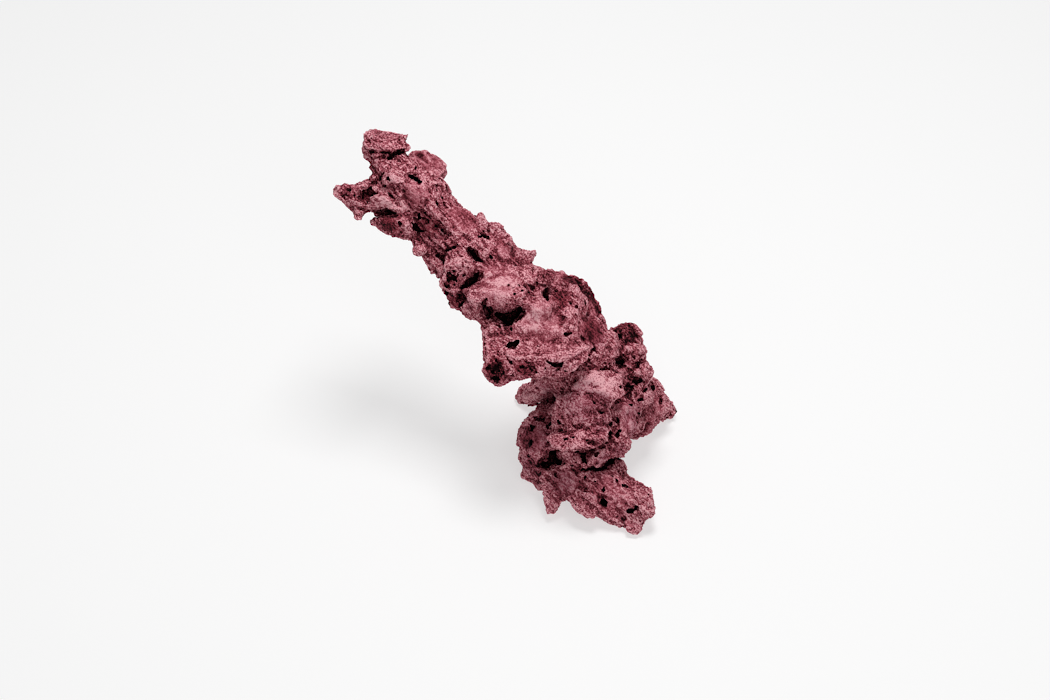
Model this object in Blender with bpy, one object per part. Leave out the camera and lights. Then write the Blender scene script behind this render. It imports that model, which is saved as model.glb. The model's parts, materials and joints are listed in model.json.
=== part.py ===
"""Dry reef rock: one leaning, knobbly branch of cemented reef rubble, standing on its own feet.

Blender 4.5, metres, +Z up. The origin is the middle of the stone's bounding box, on the floor.

The stone is laid out as it looks from the front and 45 degrees above the floor. Each place is
(across, up, toward) in millimetres on that leaning plane: across runs to the right, up runs up the
plane, and toward comes out of it to the eye. Zero is on the floor at the front foot.
"""

import math
import random

import bmesh
import bpy
from mathutils import Matrix, Vector

MM = 0.001
LOOK_DOWN = math.radians(45.0)
LUMP_VOXEL = 1.5 * MM
FINAL_VOXEL = 1.4 * MM
TRIANGLES_WANTED = 9500
FLOOR_SLAB = 60 * MM
SLAB_REACH = 500 * MM

STONE_COLOUR = (0.30, 0.09, 0.11, 1.0)
STONE_ROUGHNESS = 0.93

# Each lump: what it is, place, half sizes (across, up, toward), turn in the plane, nod, squareness.
# Turn is anticlockwise and nod tips the lump's top to the eye, in degrees. Squareness 2 is a ball.
HEAD_LUMPS = (
    ("top block", (-133.5, 251.5, 24), (14.5, 8.4, 12), -6, 0, 4),
    ("top block left corner", (-141, 254, 26), (5, 5.5, 8), 10, 0, 3),
    ("top block right corner", (-121.5, 254, 24), (4, 5, 7), 35, 0, 3),
    ("top block side knob", (-145.5, 251, 24), (3.2, 5, 5), 0, 0, 2),
    ("neck under the block", (-131, 240, 22), (13.5, 10, 12), 0, 0, 2),
    ("far lobe", (-106, 240, 8), (14, 8.5, 9), -28, 0, 2.6),
    ("far lobe corner", (-97.5, 238, 8), (5.5, 6, 7), -45, 0, 3),
    ("head core", (-115, 224, 24), (23, 20, 15), -35, 0, 2),
    ("bright boss", (-126, 231, 36), (8, 7, 7), 0, 20, 2.4),
    ("slanting ridge", (-112, 222, 36), (16, 6, 7), -42, 0, 2.4),
    ("ridge end", (-98, 206, 33), (10, 6, 7), -45, 0, 2),
    ("far edge knob", (-93, 223, 14), (5, 6, 6), 0, 0, 3),
    ("far edge tooth", (-91, 217, 14), (4, 3.5, 5), -30, 0, 3),
    ("left horn", (-154.5, 220.5, 26), (10.5, 6.5, 8), -12, 0, 2.6),
    ("left horn tip", (-161.5, 220.5, 26), (4, 3.5, 5), 20, 0, 2.4),
    ("horn root", (-143, 224, 20), (10, 6, 8), 20, 0, 2),
    ("horn web", (-146, 217, 17), (8, 6, 6), 0, 0, 2.2),
    ("under jaw", (-150, 213.5, 28), (14.5, 6.4, 8), -34, 0, 2.4),
    ("brow over the mouth", (-134, 216, 34), (11, 4.5, 8), 5, 0, 2.4),
    ("jaw drip", (-150.5, 206.5, 28), (3.6, 4.4, 4.2), 0, 0, 2),
    ("chin", (-127, 200, 24), (17, 7, 10), -14, 0, 2.4),
    ("chin front", (-119, 200, 32), (8, 6, 6), -10, 0, 2.4),
    ("throat", (-132, 212, 12), (12, 9, 8), -10, 0, 2),
)

NECK_LUMPS = (
    ("neck core", (-97, 204, 20), (17, 15.5, 15), -40, 0, 2),
    ("upper arm core", (-83, 191, 20.5), (25, 18, 15.5), -40, 0, 2),
    ("left lobe", (-108, 186.5, 22), (6.5, 7, 7), 0, 0, 2.4),
    ("left flake", (-101, 175, 18), (4.8, 12, 7), 38, 0, 2.6),
    ("arm core", (-70, 180, 20.5), (28, 20, 16.5), -38, 0, 2),
    ("arm back", (-84, 168, 14), (14, 16, 12), 0, 0, 2),
    ("far shoulder", (-84.5, 207.5, 12), (8, 6, 9), -35, 0, 2.4),
    ("far tooth one", (-71, 205, 14), (3.5, 6, 5), 20, 0, 2.6),
    ("far tooth two", (-62, 197.5, 14), (5, 5.5, 5), 25, 0, 2.6),
    ("far tooth three", (-54.5, 190.5, 13), (6, 6, 6), -10, 0, 2.6),
    ("far tooth four", (-48.5, 184, 12), (6, 5, 6), -30, 0, 2.4),
    ("thorn root", (-42, 180, 12), (9, 6, 6), -5, 0, 2.2),
    ("thorn", (-38, 180.5, 13), (6, 2.8, 3.2), 20, 0, 2.2),
    ("barnacle dome", (-86, 175.5, 36), (11, 6, 9), 0, 25, 2.4),
    ("barnacle left wall", (-95, 165, 31), (3, 9, 7), -8, 0, 2.4),
    ("barnacle floor", (-85, 159, 29), (11, 4.5, 7), -5, 0, 2.4),
    ("barnacle right wall", (-70.5, 169, 33), (3.5, 7, 7), 0, 0, 2.4),
    ("left knob", (-93, 156.5, 22), (4, 5, 6), 0, 0, 2.4),
    ("low left knobs", (-85, 153, 22), (9, 7.5, 9), -30, 0, 2.4),
    ("low left ridge", (-77, 146, 26), (9, 6, 9), -35, 0, 2.2),
)

SHELF_LUMPS = (
    ("shelf core", (-39, 146, 12), (40, 26, 20), -30, 0, 2),
    ("upper shelf", (-60, 159, 33), (21, 9, 14), 4, 30, 2.4),
    ("upper shelf back", (-45, 169, 27), (17, 8, 12), 5, 25, 2.4),
    ("upper shelf snout", (-50, 151.5, 42), (10, 6, 7), 12, 10, 2.2),
    ("upper shelf left nose", (-70, 153, 36), (8, 7, 8), 0, 0, 2.2),
    ("upper shelf fall", (-33, 154, 24), (13, 12, 13), -30, 0, 2.2),
    ("shelf blend", (-35, 146, 34), (11, 14, 11), -15, 0, 2.2),
    ("far right lobe", (-13, 155, 2), (18, 12.5, 13), -28, 0, 2.3),
    ("far right ear", (-25, 165, 4), (9, 5, 8), -10, 0, 2.4),
    ("far right bump", (-6, 160, 4), (7, 6.5, 8), -50, 0, 2.3),
    ("far right skirt", (1, 137, 0), (12, 17, 13), 18, 0, 2.3),
    ("rough rim", (-9, 152, 22), (6, 12, 8), 32, 0, 2.3),
    ("rough rim foot", (-13, 140, 28), (9, 5, 8), 30, 0, 2.3),
    ("sloping face", (-36, 134, 30), (31, 11, 13), -6, 20, 2.5),
    ("lower shelf", (-36, 119.5, 34), (36, 8.5, 18), -3, 38, 2.5),
    ("lower shelf front", (-41, 108.5, 36), (24, 8, 11), 3, 0, 2.8),
    ("lower shelf right end", (-10, 114, 37), (11, 5, 8), 38, 20, 2.4),
    ("left column", (-62, 128, 29), (9.5, 16, 12), 0, 0, 2.5),
    ("left corner", (-61, 109, 37), (10, 10, 12), -5, 0, 2.6),
    ("left hanging lobe", (-57.5, 100, 35), (7.5, 4.8, 8), 0, 0, 2.4),
)

TRUNK_LUMPS = (
    ("root of the arm", (0, 121, 6), (21, 18, 20), -10, 0, 2),
    ("waist", (-2, 104, 0), (26, 18, 20), 0, 0, 2),
    ("under arm web", (-19, 103, -14), (22, 10, 18), 15, 0, 2),
    ("knob", (24, 130, -10), (10.5, 8.5, 10), 0, 0, 2.3),
    ("knob ear", (32, 127, -12), (4.5, 4, 6), -30, 0, 2.4),
    ("knob neck", (27, 118, -8), (12, 10, 12), 0, 0, 2.3),
    ("right flank high", (29, 105, -12), (13, 12, 14), -25, 0, 2.3),
    ("right flank low", (28, 92, -18), (16, 12, 18), -15, 0, 2.2),
    ("right flank edge", (37, 96, -30), (8, 9, 12), -40, 0, 2.4),
    ("back buttress", (12, 94, -34), (23, 16, 20), 0, 0, 2.2),
    ("trunk core", (0, 73, -8), (29, 27, 27), 0, 0, 2),
    ("trunk foot", (-7, 53, -22), (28, 20, 29), 0, 0, 2.3),
)

NOSE_LUMPS = (
    ("nose block", (-6, 82, 18), (19, 13, 11), 0, 20, 2.6),
    ("nose ledge", (-8, 62.5, 21), (20, 6.5, 10), 6, 20, 2.8),
    ("nose ledge right", (7, 67, 19), (6, 6, 8), 35, 20, 2.4),
    ("bright tongue", (6, 98, 24), (16, 8, 8), -20, 45, 2.8),
    ("tongue tip", (13, 90, 22), (6, 6, 6), -50, 25, 2.4),
    ("under the ledge", (1, 52, 8), (16, 7, 10), 0, 0, 2.3),
    ("right of the nose", (16.5, 62, 3), (9, 14, 12), 10, 0, 2.2),
    ("round nodule high", (22, 78, -14), (8.5, 8.5, 9), 0, 0, 2.2),
    ("round nodule low", (29, 72, -26), (9, 8.5, 10), 0, 0, 2.2),
)

FOOT_LUMPS = (
    ("cheek", (-35, 58, -18), (12.5, 20, 17), 0, 0, 2.4),
    ("cheek brow", (-32, 72, -22), (12, 9.5, 13), 25, 0, 2.3),
    ("cheek low", (-38, 47, -26), (8, 12, 13), 10, 0, 2.3),
    ("cheek sole", (-36, 43, -35), (8.5, 8.5, 10), 35, 0, 2.4),
    ("far left foot", (-39.5, 90.5, -82), (11, 8.5, 11), 22, 0, 2.4),
    ("far left shin", (-28, 94.5, -72), (14, 9, 13), 15, 0, 2.2),
    ("cheek sole front", (-31, 36, -26), (9, 9, 9), 40, 0, 2.4),
    ("cheek back", (-32, 60, -42), (11, 12, 14), 0, 0, 2.3),
    ("far left knee", (-14, 96, -50), (17, 12, 18), 10, 0, 2.2),
    ("left web", (-22, 82, -46), (12.5, 10, 14), 0, 0, 2.2),
    ("far right foot", (42, 83.5, -59), (13.5, 13, 12), -40, 0, 2.4),
    ("far right toe", (51.5, 79, -71.5), (8.5, 7.5, 8), -20, 0, 2.6),
    ("far right shin", (32, 80, -42), (14, 12, 14), 0, 0, 2.3),
    ("front foot", (12, 30, -4), (25, 12, 14), -28, 0, 2.4),
    ("front foot bridge", (4, 42, -12), (22, 10, 14), 0, 0, 2.2),
    ("front foot back", (28.5, 29.5, -8), (10, 7.5, 10), -42, 0, 2.4),
    ("front sole", (8, 15.5, -2), (18, 7, 8), -30, 0, 2.4),
    ("front toe", (32, 19, 2), (12, 9.5, 11), -40, 0, 2.6),
    ("front toe right", (38, 23, -2), (6, 8, 9), 0, 0, 2.4),
    ("front toe end", (28.5, 4, 0), (6.8, 4.5, 6), -15, 0, 2.4),
    ("front instep", (-6, 27, -3), (14, 9, 10), -15, 0, 2.3),
    ("instep back", (-19, 33, -12), (10, 9, 9), 0, 0, 2.3),
    ("heel", (-24.5, 24, -10), (5.5, 11, 7), 4, 0, 2.6),
    ("heel spur", (-26.5, 18.5, -13.5), (4.2, 5, 5), 0, 0, 2.4),
)

# Each hollow is written as a lump is, and is cut away.
HOLLOWS = (
    ("jaw notch", (-144.2, 203.6, 28), (2.8, 3.6, 16), 0, 0, 2.4),
    ("head slit", (-114, 231.5, 42), (6.8, 2.2, 12), -32, 0, 2.4),
    ("mouth", (-135.5, 208.5, 36), (9.5, 3.2, 16), 6, 0, 2.6),
    ("mouth corner", (-126, 211, 40), (5, 2.6, 10), -30, 0, 2.2),
    ("chin hole", (-112.5, 199, 42), (3.2, 5, 14), 15, 0, 2.2),
    ("horn hollow", (-145, 219, 36), (4.5, 5, 10), 0, 0, 2.2),
    ("block seam", (-130, 244, 38), (12, 2.4, 10), -4, 0, 2.2),
    ("far edge scar", (-98, 217, 33), (3, 7, 8), 25, 0, 2.2),
    ("neck recess", (-101, 200, 40), (9, 5, 10), -15, 0, 2.2),
    ("arm crack", (-93, 184.5, 40), (8, 2.4, 10), 12, 0, 2.2),
    ("arm hole", (-75.5, 182, 42), (4, 7, 16), 30, 0, 2.3),
    ("arm nick", (-58, 191, 36), (6, 1.8, 8), 0, 0, 2.2),
    ("barnacle mouth", (-77, 166, 42), (8.5, 5.5, 16), 22, 0, 2.4),
    ("barnacle left mouth", (-90, 165.5, 40), (5, 5, 11), 0, 0, 2.2),
    ("low left hole", (-84, 153, 36), (3.2, 7, 12), -10, 0, 2.2),
    ("shelf cavern", (-56, 143, 48), (15, 6.5, 22), 6, 0, 2.5),
    ("shelf cavern left", (-69, 146, 46), (4, 6, 12), 25, 0, 2.2),
    ("rough hollow", (-19, 152, 30), (14, 7, 10), -28, 0, 2.2),
    ("rim nick", (-13.5, 132, 40), (4.5, 1.7, 9), 0, 0, 2.2),
    ("shelf pit", (-50, 123.5, 54), (6, 3, 9), 18, 0, 2.2),
    ("shelf front slit", (-21.5, 111, 52), (6.5, 2.2, 11), 0, 0, 2.3),
    ("corner hollow", (-61, 105, 50), (7, 7.5, 8), -15, 0, 2.2),
    ("flank hole", (19.5, 112, 8), (4.5, 4, 11), -20, 0, 2.2),
    ("flank slit", (30, 100, 4), (6, 2.6, 10), 25, 0, 2.2),
    ("flank pit", (26, 92, 2), (4, 3, 9), 20, 0, 2.2),
    ("tongue side", (19, 86, 10), (6, 3, 12), -25, 0, 2.2),
    ("nose slit", (8, 79, 32), (5, 1.8, 10), -15, 0, 2.2),
    ("cheek seam", (-26, 75, 2), (10, 2.6, 12), 10, 0, 2.2),
    ("left cave", (-24, 49, 6), (9, 6, 18), 35, 0, 2.3),
    ("left cave floor", (-30, 45, 0), (8, 3.5, 12), 10, 0, 2.2),
    ("ledge shadow", (0, 54.5, 20), (12, 2.4, 12), 8, 0, 2.3),
    ("middle cave", (-3, 50, 18), (3, 5, 12), 10, 0, 2.2),
    ("right cave", (12.5, 46.5, 10), (8, 3.6, 16), 40, 0, 2.3),
    ("foot eye left", (9, 21, 14), (4.2, 3.2, 11), -15, 0, 2.3),
    ("foot eye right", (24, 15, 15), (3.6, 2.8, 9), 0, 0, 2.3),
    ("foot eye far right", (30, 18, 14), (2.6, 2.4, 8), 0, 0, 2.2),
    ("foot groove", (21, 36, 12), (10, 2.4, 9), -35, 0, 2.2),
    ("toe notch", (37, 7.5, 8), (4, 2, 12), 10, 0, 2.3),
    ("front arch", (-18, 12.5, -6), (5, 5, 14), -20, 0, 2.2),
    ("small arch", (14, 2, 0), (4, 3, 12), -25, 0, 2.2),
    ("far left notch", (-32.5, 85, -64), (3.5, 3, 9), 0, 0, 2.2),
)

# Each grain: basis of the noise, size of a grain, how far it moves the surface.
COARSE_GRAINS = (
    ("BLENDER_ORIGINAL", 11 * MM, 5.0 * MM),
    ("VORONOI_F2_F1", 13 * MM, 3.4 * MM),
)
FINE_GRAINS = (
    ("BLENDER_ORIGINAL", 4.5 * MM, 2.6 * MM),
)

# Knobs and pores are strewn over the whole skin: how many, half sizes in millimetres, how far the
# middle stands out of the skin as a share of the half size.
KNOBS = {"count": 300, "smallest": 3.0, "largest": 6.0, "stands_out": -0.5, "seed": 11}
PORES = {"count": 150, "smallest": 2.6, "largest": 4.4, "stands_out": 0.1, "seed": 23}


def on_plane(across, up, toward):
    """A place on the leaning drawing plane, as a point above the floor."""
    back = up * math.sin(LOOK_DOWN) - toward * math.cos(LOOK_DOWN)
    height = up * math.cos(LOOK_DOWN) + toward * math.sin(LOOK_DOWN)
    return Vector((across, back, height)) * MM


def plane_turn(turn, nod):
    """The rotation that stands a lump up on the drawing plane, turned and nodded."""
    plane = Matrix.Rotation(math.pi / 2 - LOOK_DOWN, 3, "X")
    return plane @ Matrix.Rotation(math.radians(turn), 3, "Z") @ Matrix.Rotation(math.radians(nod), 3, "X")


def add_lump(bm, place, halves, turn, nod, squareness):
    """A ball, drawn out to its half sizes and squared off at its corners."""
    made = bmesh.ops.create_icosphere(bm, subdivisions=4, radius=1.0)
    rotation = plane_turn(turn, nod)
    centre = on_plane(*place)
    for vert in made["verts"]:
        corner = sum(abs(part) ** squareness for part in vert.co) ** (-1.0 / squareness)
        stretched = Vector([part * corner * half * MM for part, half in zip(vert.co, halves)])
        vert.co = rotation @ stretched + centre


def strew(bm, skin, scatter):
    """Balls strewn over a skin, in proportion to its area, each a little squashed at random."""
    chance = random.Random(scatter["seed"])
    faces = list(skin.polygons)
    areas = [face.area for face in faces]
    for face in chance.choices(faces, weights=areas, k=scatter["count"]):
        half = chance.uniform(scatter["smallest"], scatter["largest"]) * MM
        squash = Matrix.Diagonal([chance.uniform(0.7, 1.3) * half for _ in range(3)]).to_4x4()
        turn = Matrix.Rotation(chance.uniform(0, math.tau), 4, face.normal)
        move = Matrix.Translation(face.center + face.normal * half * scatter["stands_out"])
        bmesh.ops.create_icosphere(bm, subdivisions=2, radius=1.0, matrix=move @ turn @ squash)


def shape_object(name, lumps, skin=None, scatter=None, keep_skin=False):
    """One mesh of overlapping lumps and strewn balls, made one closed skin by a voxel remesh."""
    bm = bmesh.new()
    for _, place, halves, turn, nod, squareness in lumps:
        add_lump(bm, place, halves, turn, nod, squareness)
    if scatter:
        strew(bm, skin, scatter)
    if keep_skin:
        bm.from_mesh(skin)
    mesh = bpy.data.meshes.new(name)
    bm.to_mesh(mesh)
    bm.free()
    shape = bpy.data.objects.new(name, mesh)
    bpy.context.scene.collection.objects.link(shape)
    remesh(shape, LUMP_VOXEL)
    return shape


def remesh(stone, voxel):
    """Adds a voxel remesh, which leaves one closed skin with faces of even size."""
    modifier = stone.modifiers.new("skin", "REMESH")
    modifier.mode = "VOXEL"
    modifier.voxel_size = voxel
    modifier.adaptivity = 0.0


def add_grain(stone, basis, grain, travel):
    """Adds a displacement by one procedural noise, in and out by half its travel."""
    texture = bpy.data.textures.new(f"grain {basis.lower()}", "CLOUDS")
    texture.noise_basis = basis
    texture.noise_scale = grain
    texture.noise_depth = 2
    modifier = stone.modifiers.new("grain", "DISPLACE")
    modifier.texture = texture
    modifier.texture_coords = "LOCAL"
    modifier.strength = travel
    modifier.mid_level = 0.5


def cut(stone, cutter):
    """Adds a Boolean that takes the cutter away, and hides the cutter."""
    modifier = stone.modifiers.new("cut", "BOOLEAN")
    modifier.operation = "DIFFERENCE"
    modifier.solver = "EXACT"
    modifier.object = cutter
    cutter.hide_render = True
    cutter.display_type = "WIRE"


def baked(stone):
    """Gives the object its own evaluated mesh, and drops its modifiers."""
    graph = bpy.context.evaluated_depsgraph_get()
    mesh = bpy.data.meshes.new_from_object(stone.evaluated_get(graph))
    stone.modifiers.clear()
    stone.data = mesh
    return stone


def floor_slab():
    """A slab just under the floor, whose cut gives the feet their flat soles."""
    bm = bmesh.new()
    bmesh.ops.create_cube(bm, size=1.0)
    bmesh.ops.scale(bm, vec=(SLAB_REACH, SLAB_REACH, FLOOR_SLAB), verts=bm.verts)
    bmesh.ops.translate(bm, vec=(0, 0, -FLOOR_SLAB / 2), verts=bm.verts)
    mesh = bpy.data.meshes.new("floor slab")
    bm.to_mesh(mesh)
    bm.free()
    slab = bpy.data.objects.new("floor_slab", mesh)
    bpy.context.scene.collection.objects.link(slab)
    return slab


def biggest_body(stone):
    """Keeps the largest connected shell and drops crumbs that the cuts have freed."""
    bm = bmesh.new()
    bm.from_mesh(stone.data)
    unseen = set(bm.verts)
    shells = []
    while unseen:
        shell = [unseen.pop()]
        for vert in shell:
            for edge in vert.link_edges:
                other = edge.other_vert(vert)
                if other in unseen:
                    unseen.remove(other)
                    shell.append(other)
        shells.append(shell)
    shells.sort(key=len)
    crumbs = [vert for shell in shells[:-1] for vert in shell]
    bmesh.ops.delete(bm, geom=crumbs, context="VERTS")
    bm.to_mesh(stone.data)
    bm.free()
    return stone


def thin_out(stone):
    """Collapses edges until about the wanted number of triangles is left."""
    stone.data.calc_loop_triangles()
    modifier = stone.modifiers.new("thin", "DECIMATE")
    modifier.ratio = TRIANGLES_WANTED / len(stone.data.loop_triangles)
    modifier.use_collapse_triangulate = True
    return baked(stone)


def move_to_origin(stone, helpers):
    """Puts the middle of the bounding box's base at the origin, and takes the helpers along."""
    corners = [Vector(corner) for corner in stone.bound_box]
    low = Vector([min(corner[axis] for corner in corners) for axis in range(3)])
    high = Vector([max(corner[axis] for corner in corners) for axis in range(3)])
    middle = (low + high) / 2
    for obj in (stone, *helpers):
        obj.data.transform(Matrix.Translation((-middle.x, -middle.y, -low.z)))


def stone_material():
    """Dull, dusty red stone."""
    material = bpy.data.materials.new("dry reef stone")
    material.use_nodes = True
    shader = material.node_tree.nodes["Principled BSDF"]
    shader.inputs["Base Color"].default_value = STONE_COLOUR
    shader.inputs["Roughness"].default_value = STONE_ROUGHNESS
    shader.inputs["Metallic"].default_value = 0.0
    return material


def build():
    for obj in list(bpy.data.objects):
        bpy.data.objects.remove(obj)

    all_lumps = HEAD_LUMPS + NECK_LUMPS + SHELF_LUMPS + TRUNK_LUMPS + NOSE_LUMPS + FOOT_LUMPS
    core = shape_object("core", all_lumps)
    for grain in COARSE_GRAINS:
        add_grain(core, *grain)
    remesh(core, LUMP_VOXEL)
    skin = baked(core).data
    bpy.data.objects.remove(core)

    stone = baked(shape_object("reef_rock", (), skin, KNOBS, keep_skin=True))
    hollows = shape_object("hollow_cutters", HOLLOWS, skin, PORES)
    for grain in FINE_GRAINS:
        add_grain(hollows, *grain)
    remesh(hollows, LUMP_VOXEL)
    baked(hollows)

    cut(stone, hollows)
    remesh(stone, FINAL_VOXEL)
    for grain in FINE_GRAINS:
        add_grain(stone, *grain)
    remesh(stone, FINAL_VOXEL)
    baked(stone)
    biggest_body(stone)
    thin_out(stone)

    slab = floor_slab()
    cut(stone, slab)
    baked(stone)
    biggest_body(stone)
    move_to_origin(stone, (hollows, slab))
    stone.data.materials.clear()
    stone.data.materials.append(stone_material())
    stone.data.shade_smooth()
    stone.data.set_sharp_from_angle(angle=math.radians(50))


build()
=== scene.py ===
import json
import math
import time

import bpy
import numpy as np
from mathutils import Matrix, Vector
from mathutils.bvhtree import BVHTree

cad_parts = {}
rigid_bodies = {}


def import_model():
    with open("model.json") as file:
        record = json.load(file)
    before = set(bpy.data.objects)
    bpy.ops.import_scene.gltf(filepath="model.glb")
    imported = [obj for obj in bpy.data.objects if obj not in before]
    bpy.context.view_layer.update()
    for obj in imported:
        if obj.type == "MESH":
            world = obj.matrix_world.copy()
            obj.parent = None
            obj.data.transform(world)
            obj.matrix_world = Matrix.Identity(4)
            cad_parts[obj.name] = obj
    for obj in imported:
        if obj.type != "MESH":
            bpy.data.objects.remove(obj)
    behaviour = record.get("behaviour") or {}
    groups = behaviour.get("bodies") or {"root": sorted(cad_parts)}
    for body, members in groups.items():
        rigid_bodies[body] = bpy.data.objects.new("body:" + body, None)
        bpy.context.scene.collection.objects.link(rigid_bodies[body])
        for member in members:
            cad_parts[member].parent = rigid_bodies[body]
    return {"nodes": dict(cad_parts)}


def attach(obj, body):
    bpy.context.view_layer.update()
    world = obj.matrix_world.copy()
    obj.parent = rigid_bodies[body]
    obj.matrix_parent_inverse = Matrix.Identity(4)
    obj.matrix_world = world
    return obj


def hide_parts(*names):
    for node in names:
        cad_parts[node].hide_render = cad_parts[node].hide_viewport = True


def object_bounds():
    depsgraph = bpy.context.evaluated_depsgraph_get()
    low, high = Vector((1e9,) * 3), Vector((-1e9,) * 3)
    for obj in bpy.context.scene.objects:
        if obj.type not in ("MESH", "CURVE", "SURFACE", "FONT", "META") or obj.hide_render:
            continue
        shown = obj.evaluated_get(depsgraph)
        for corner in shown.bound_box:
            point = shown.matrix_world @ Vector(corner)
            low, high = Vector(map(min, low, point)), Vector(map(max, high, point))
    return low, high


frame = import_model()
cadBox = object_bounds()
started = time.time()


def report(words):
    print(f"{time.time() - started:6.1f} s  {words}")


# Small helpers

def selectOnly(*pieces):
    bpy.ops.object.select_all(action="DESELECT")
    for piece in pieces:
        piece.select_set(True)
    bpy.context.view_layer.objects.active = pieces[0]


def applyModifiers(piece):
    selectOnly(piece)
    for modifier in list(piece.modifiers):
        bpy.ops.object.modifier_apply(modifier=modifier.name)


def joinAll(name, pieces):
    selectOnly(*pieces)
    if len(pieces) > 1:
        bpy.ops.object.join()
    joined = bpy.context.view_layer.objects.active
    joined.name = name
    bpy.ops.object.transform_apply(location=True, rotation=True, scale=True)
    return joined


def copyOf(piece, name):
    made = bpy.data.objects.new(name, piece.data.copy())
    bpy.context.scene.collection.objects.link(made)
    return made


def evenSkin(piece, voxel):
    modifier = piece.modifiers.new("even skin", "REMESH")
    modifier.mode = "VOXEL"
    modifier.voxel_size = voxel
    applyModifiers(piece)


def smoothSkin(piece, times):
    modifier = piece.modifiers.new("smooth", "SMOOTH")
    modifier.factor = 0.5
    modifier.iterations = times
    applyModifiers(piece)


def roughenSkin(piece, grains, guide=None):
    # each grain: texture type, noise basis, grain size, travel of the surface, middle level, vertex group
    for kind, basis, size, travel, middle, group in grains:
        texture = bpy.data.textures.new(kind.lower(), "MUSGRAVE" if kind == "RIDGES" else "CLOUDS")
        texture.noise_scale = size
        texture.noise_basis = basis
        if kind == "RIDGES":
            texture.musgrave_type = "RIDGED_MULTIFRACTAL"
        else:
            texture.noise_depth = 3
            texture.noise_type = "HARD_NOISE" if kind == "CREASES" else "SOFT_NOISE"
        modifier = piece.modifiers.new("grain", "DISPLACE")
        modifier.texture = texture
        modifier.texture_coords = "OBJECT" if guide else "LOCAL"
        modifier.texture_coords_object = guide
        modifier.strength = travel
        modifier.mid_level = middle
        if group:
            modifier.vertex_group = group
    applyModifiers(piece)


def editWhole(piece, step, **settings):
    selectOnly(piece)
    bpy.ops.object.mode_set(mode="EDIT")
    bpy.ops.mesh.select_all(action="SELECT")
    step(**settings)
    bpy.ops.object.mode_set(mode="OBJECT")


def carve(piece, cutter):
    modifier = piece.modifiers.new("carve", "BOOLEAN")
    modifier.operation = "DIFFERENCE"
    modifier.solver = "MANIFOLD"
    modifier.object = cutter
    applyModifiers(piece)
    bpy.data.objects.remove(cutter)


def keepMainBody(piece):
    # loose bits and closed voids go: what isn't joined to the stone seen at the body pixel
    seen = pixelHit(rockTree(piece), *rockForm["bodyPixel"])[0]
    nearest = int(np.linalg.norm(vertexPlaces(piece) - np.array(seen), axis=1).argmin())
    selectOnly(piece)
    bpy.ops.object.mode_set(mode="EDIT")
    bpy.ops.mesh.select_all(action="DESELECT")
    bpy.ops.object.mode_set(mode="OBJECT")
    piece.data.vertices[nearest].select = True
    bpy.ops.object.mode_set(mode="EDIT")
    bpy.ops.mesh.select_linked()
    bpy.ops.mesh.select_all(action="INVERT")
    bpy.ops.mesh.delete(type="VERT")
    bpy.ops.object.mode_set(mode="OBJECT")


def vertexValues(piece, kind):
    values = np.empty(len(piece.data.vertices) * 3, np.float32)
    piece.data.vertices.foreach_get(kind, values)
    return values.reshape(-1, 3)


def vertexPlaces(piece):
    return vertexValues(piece, "co")


def addNode(tree, kind, inputs=None, **settings):
    # each input takes a value or another node's output
    made = tree.nodes.new(kind)
    for name, value in settings.items():
        setattr(made, name, value)
    for socket, value in (inputs or {}).items():
        if isinstance(value, bpy.types.NodeSocket):
            tree.links.new(value, made.inputs[socket])
        else:
            made.inputs[socket].default_value = value
    return made


# The camera stands where the photograph was taken from

cameraLook = {
    "lens": 100.0,
    "sensor": 36.0,
    "lookDown": math.radians(45),
    "pixel": 0.00065,              # metres a pixel covers at the toe
    "image": (1050, 700),
    "toePixel": (590, 535),        # where the photograph shows the toe point
    "toePoint": (0.16554, 0.00163),  # on the floor, from the CAD box's low corner
}


def toePoint():
    low = cadBox[0]
    return Vector((low.x + cameraLook["toePoint"][0], low.y + cameraLook["toePoint"][1], low.z))


def pixelOnPlane(x, y):
    # the point of the leaning drawing plane through the toe that a pixel shows
    across = (x - cameraLook["toePixel"][0]) * cameraLook["pixel"]
    up = (cameraLook["toePixel"][1] - y) * cameraLook["pixel"]
    look = cameraLook["lookDown"]
    return toePoint() + Vector((across, up * math.sin(look), up * math.cos(look)))


def addCamera():
    width, height = cameraLook["image"]
    look = cameraLook["lookDown"]
    toward = Vector((0, -math.cos(look), math.sin(look)))
    distance = cameraLook["pixel"] * width * cameraLook["lens"] / cameraLook["sensor"]
    aim = pixelOnPlane(width / 2, height / 2)
    bpy.ops.object.camera_add(location=aim + toward * distance,
                              rotation=(-toward).to_track_quat("-Z", "Y").to_euler())
    camera = bpy.context.object
    camera.data.lens = cameraLook["lens"]
    camera.data.sensor_width = cameraLook["sensor"]
    bpy.context.scene.camera = camera
    return camera


camera = addCamera()
report("camera placed")


# The rock: a finer copy of the CAD node's own mesh, roughened, carved and pitted

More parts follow.
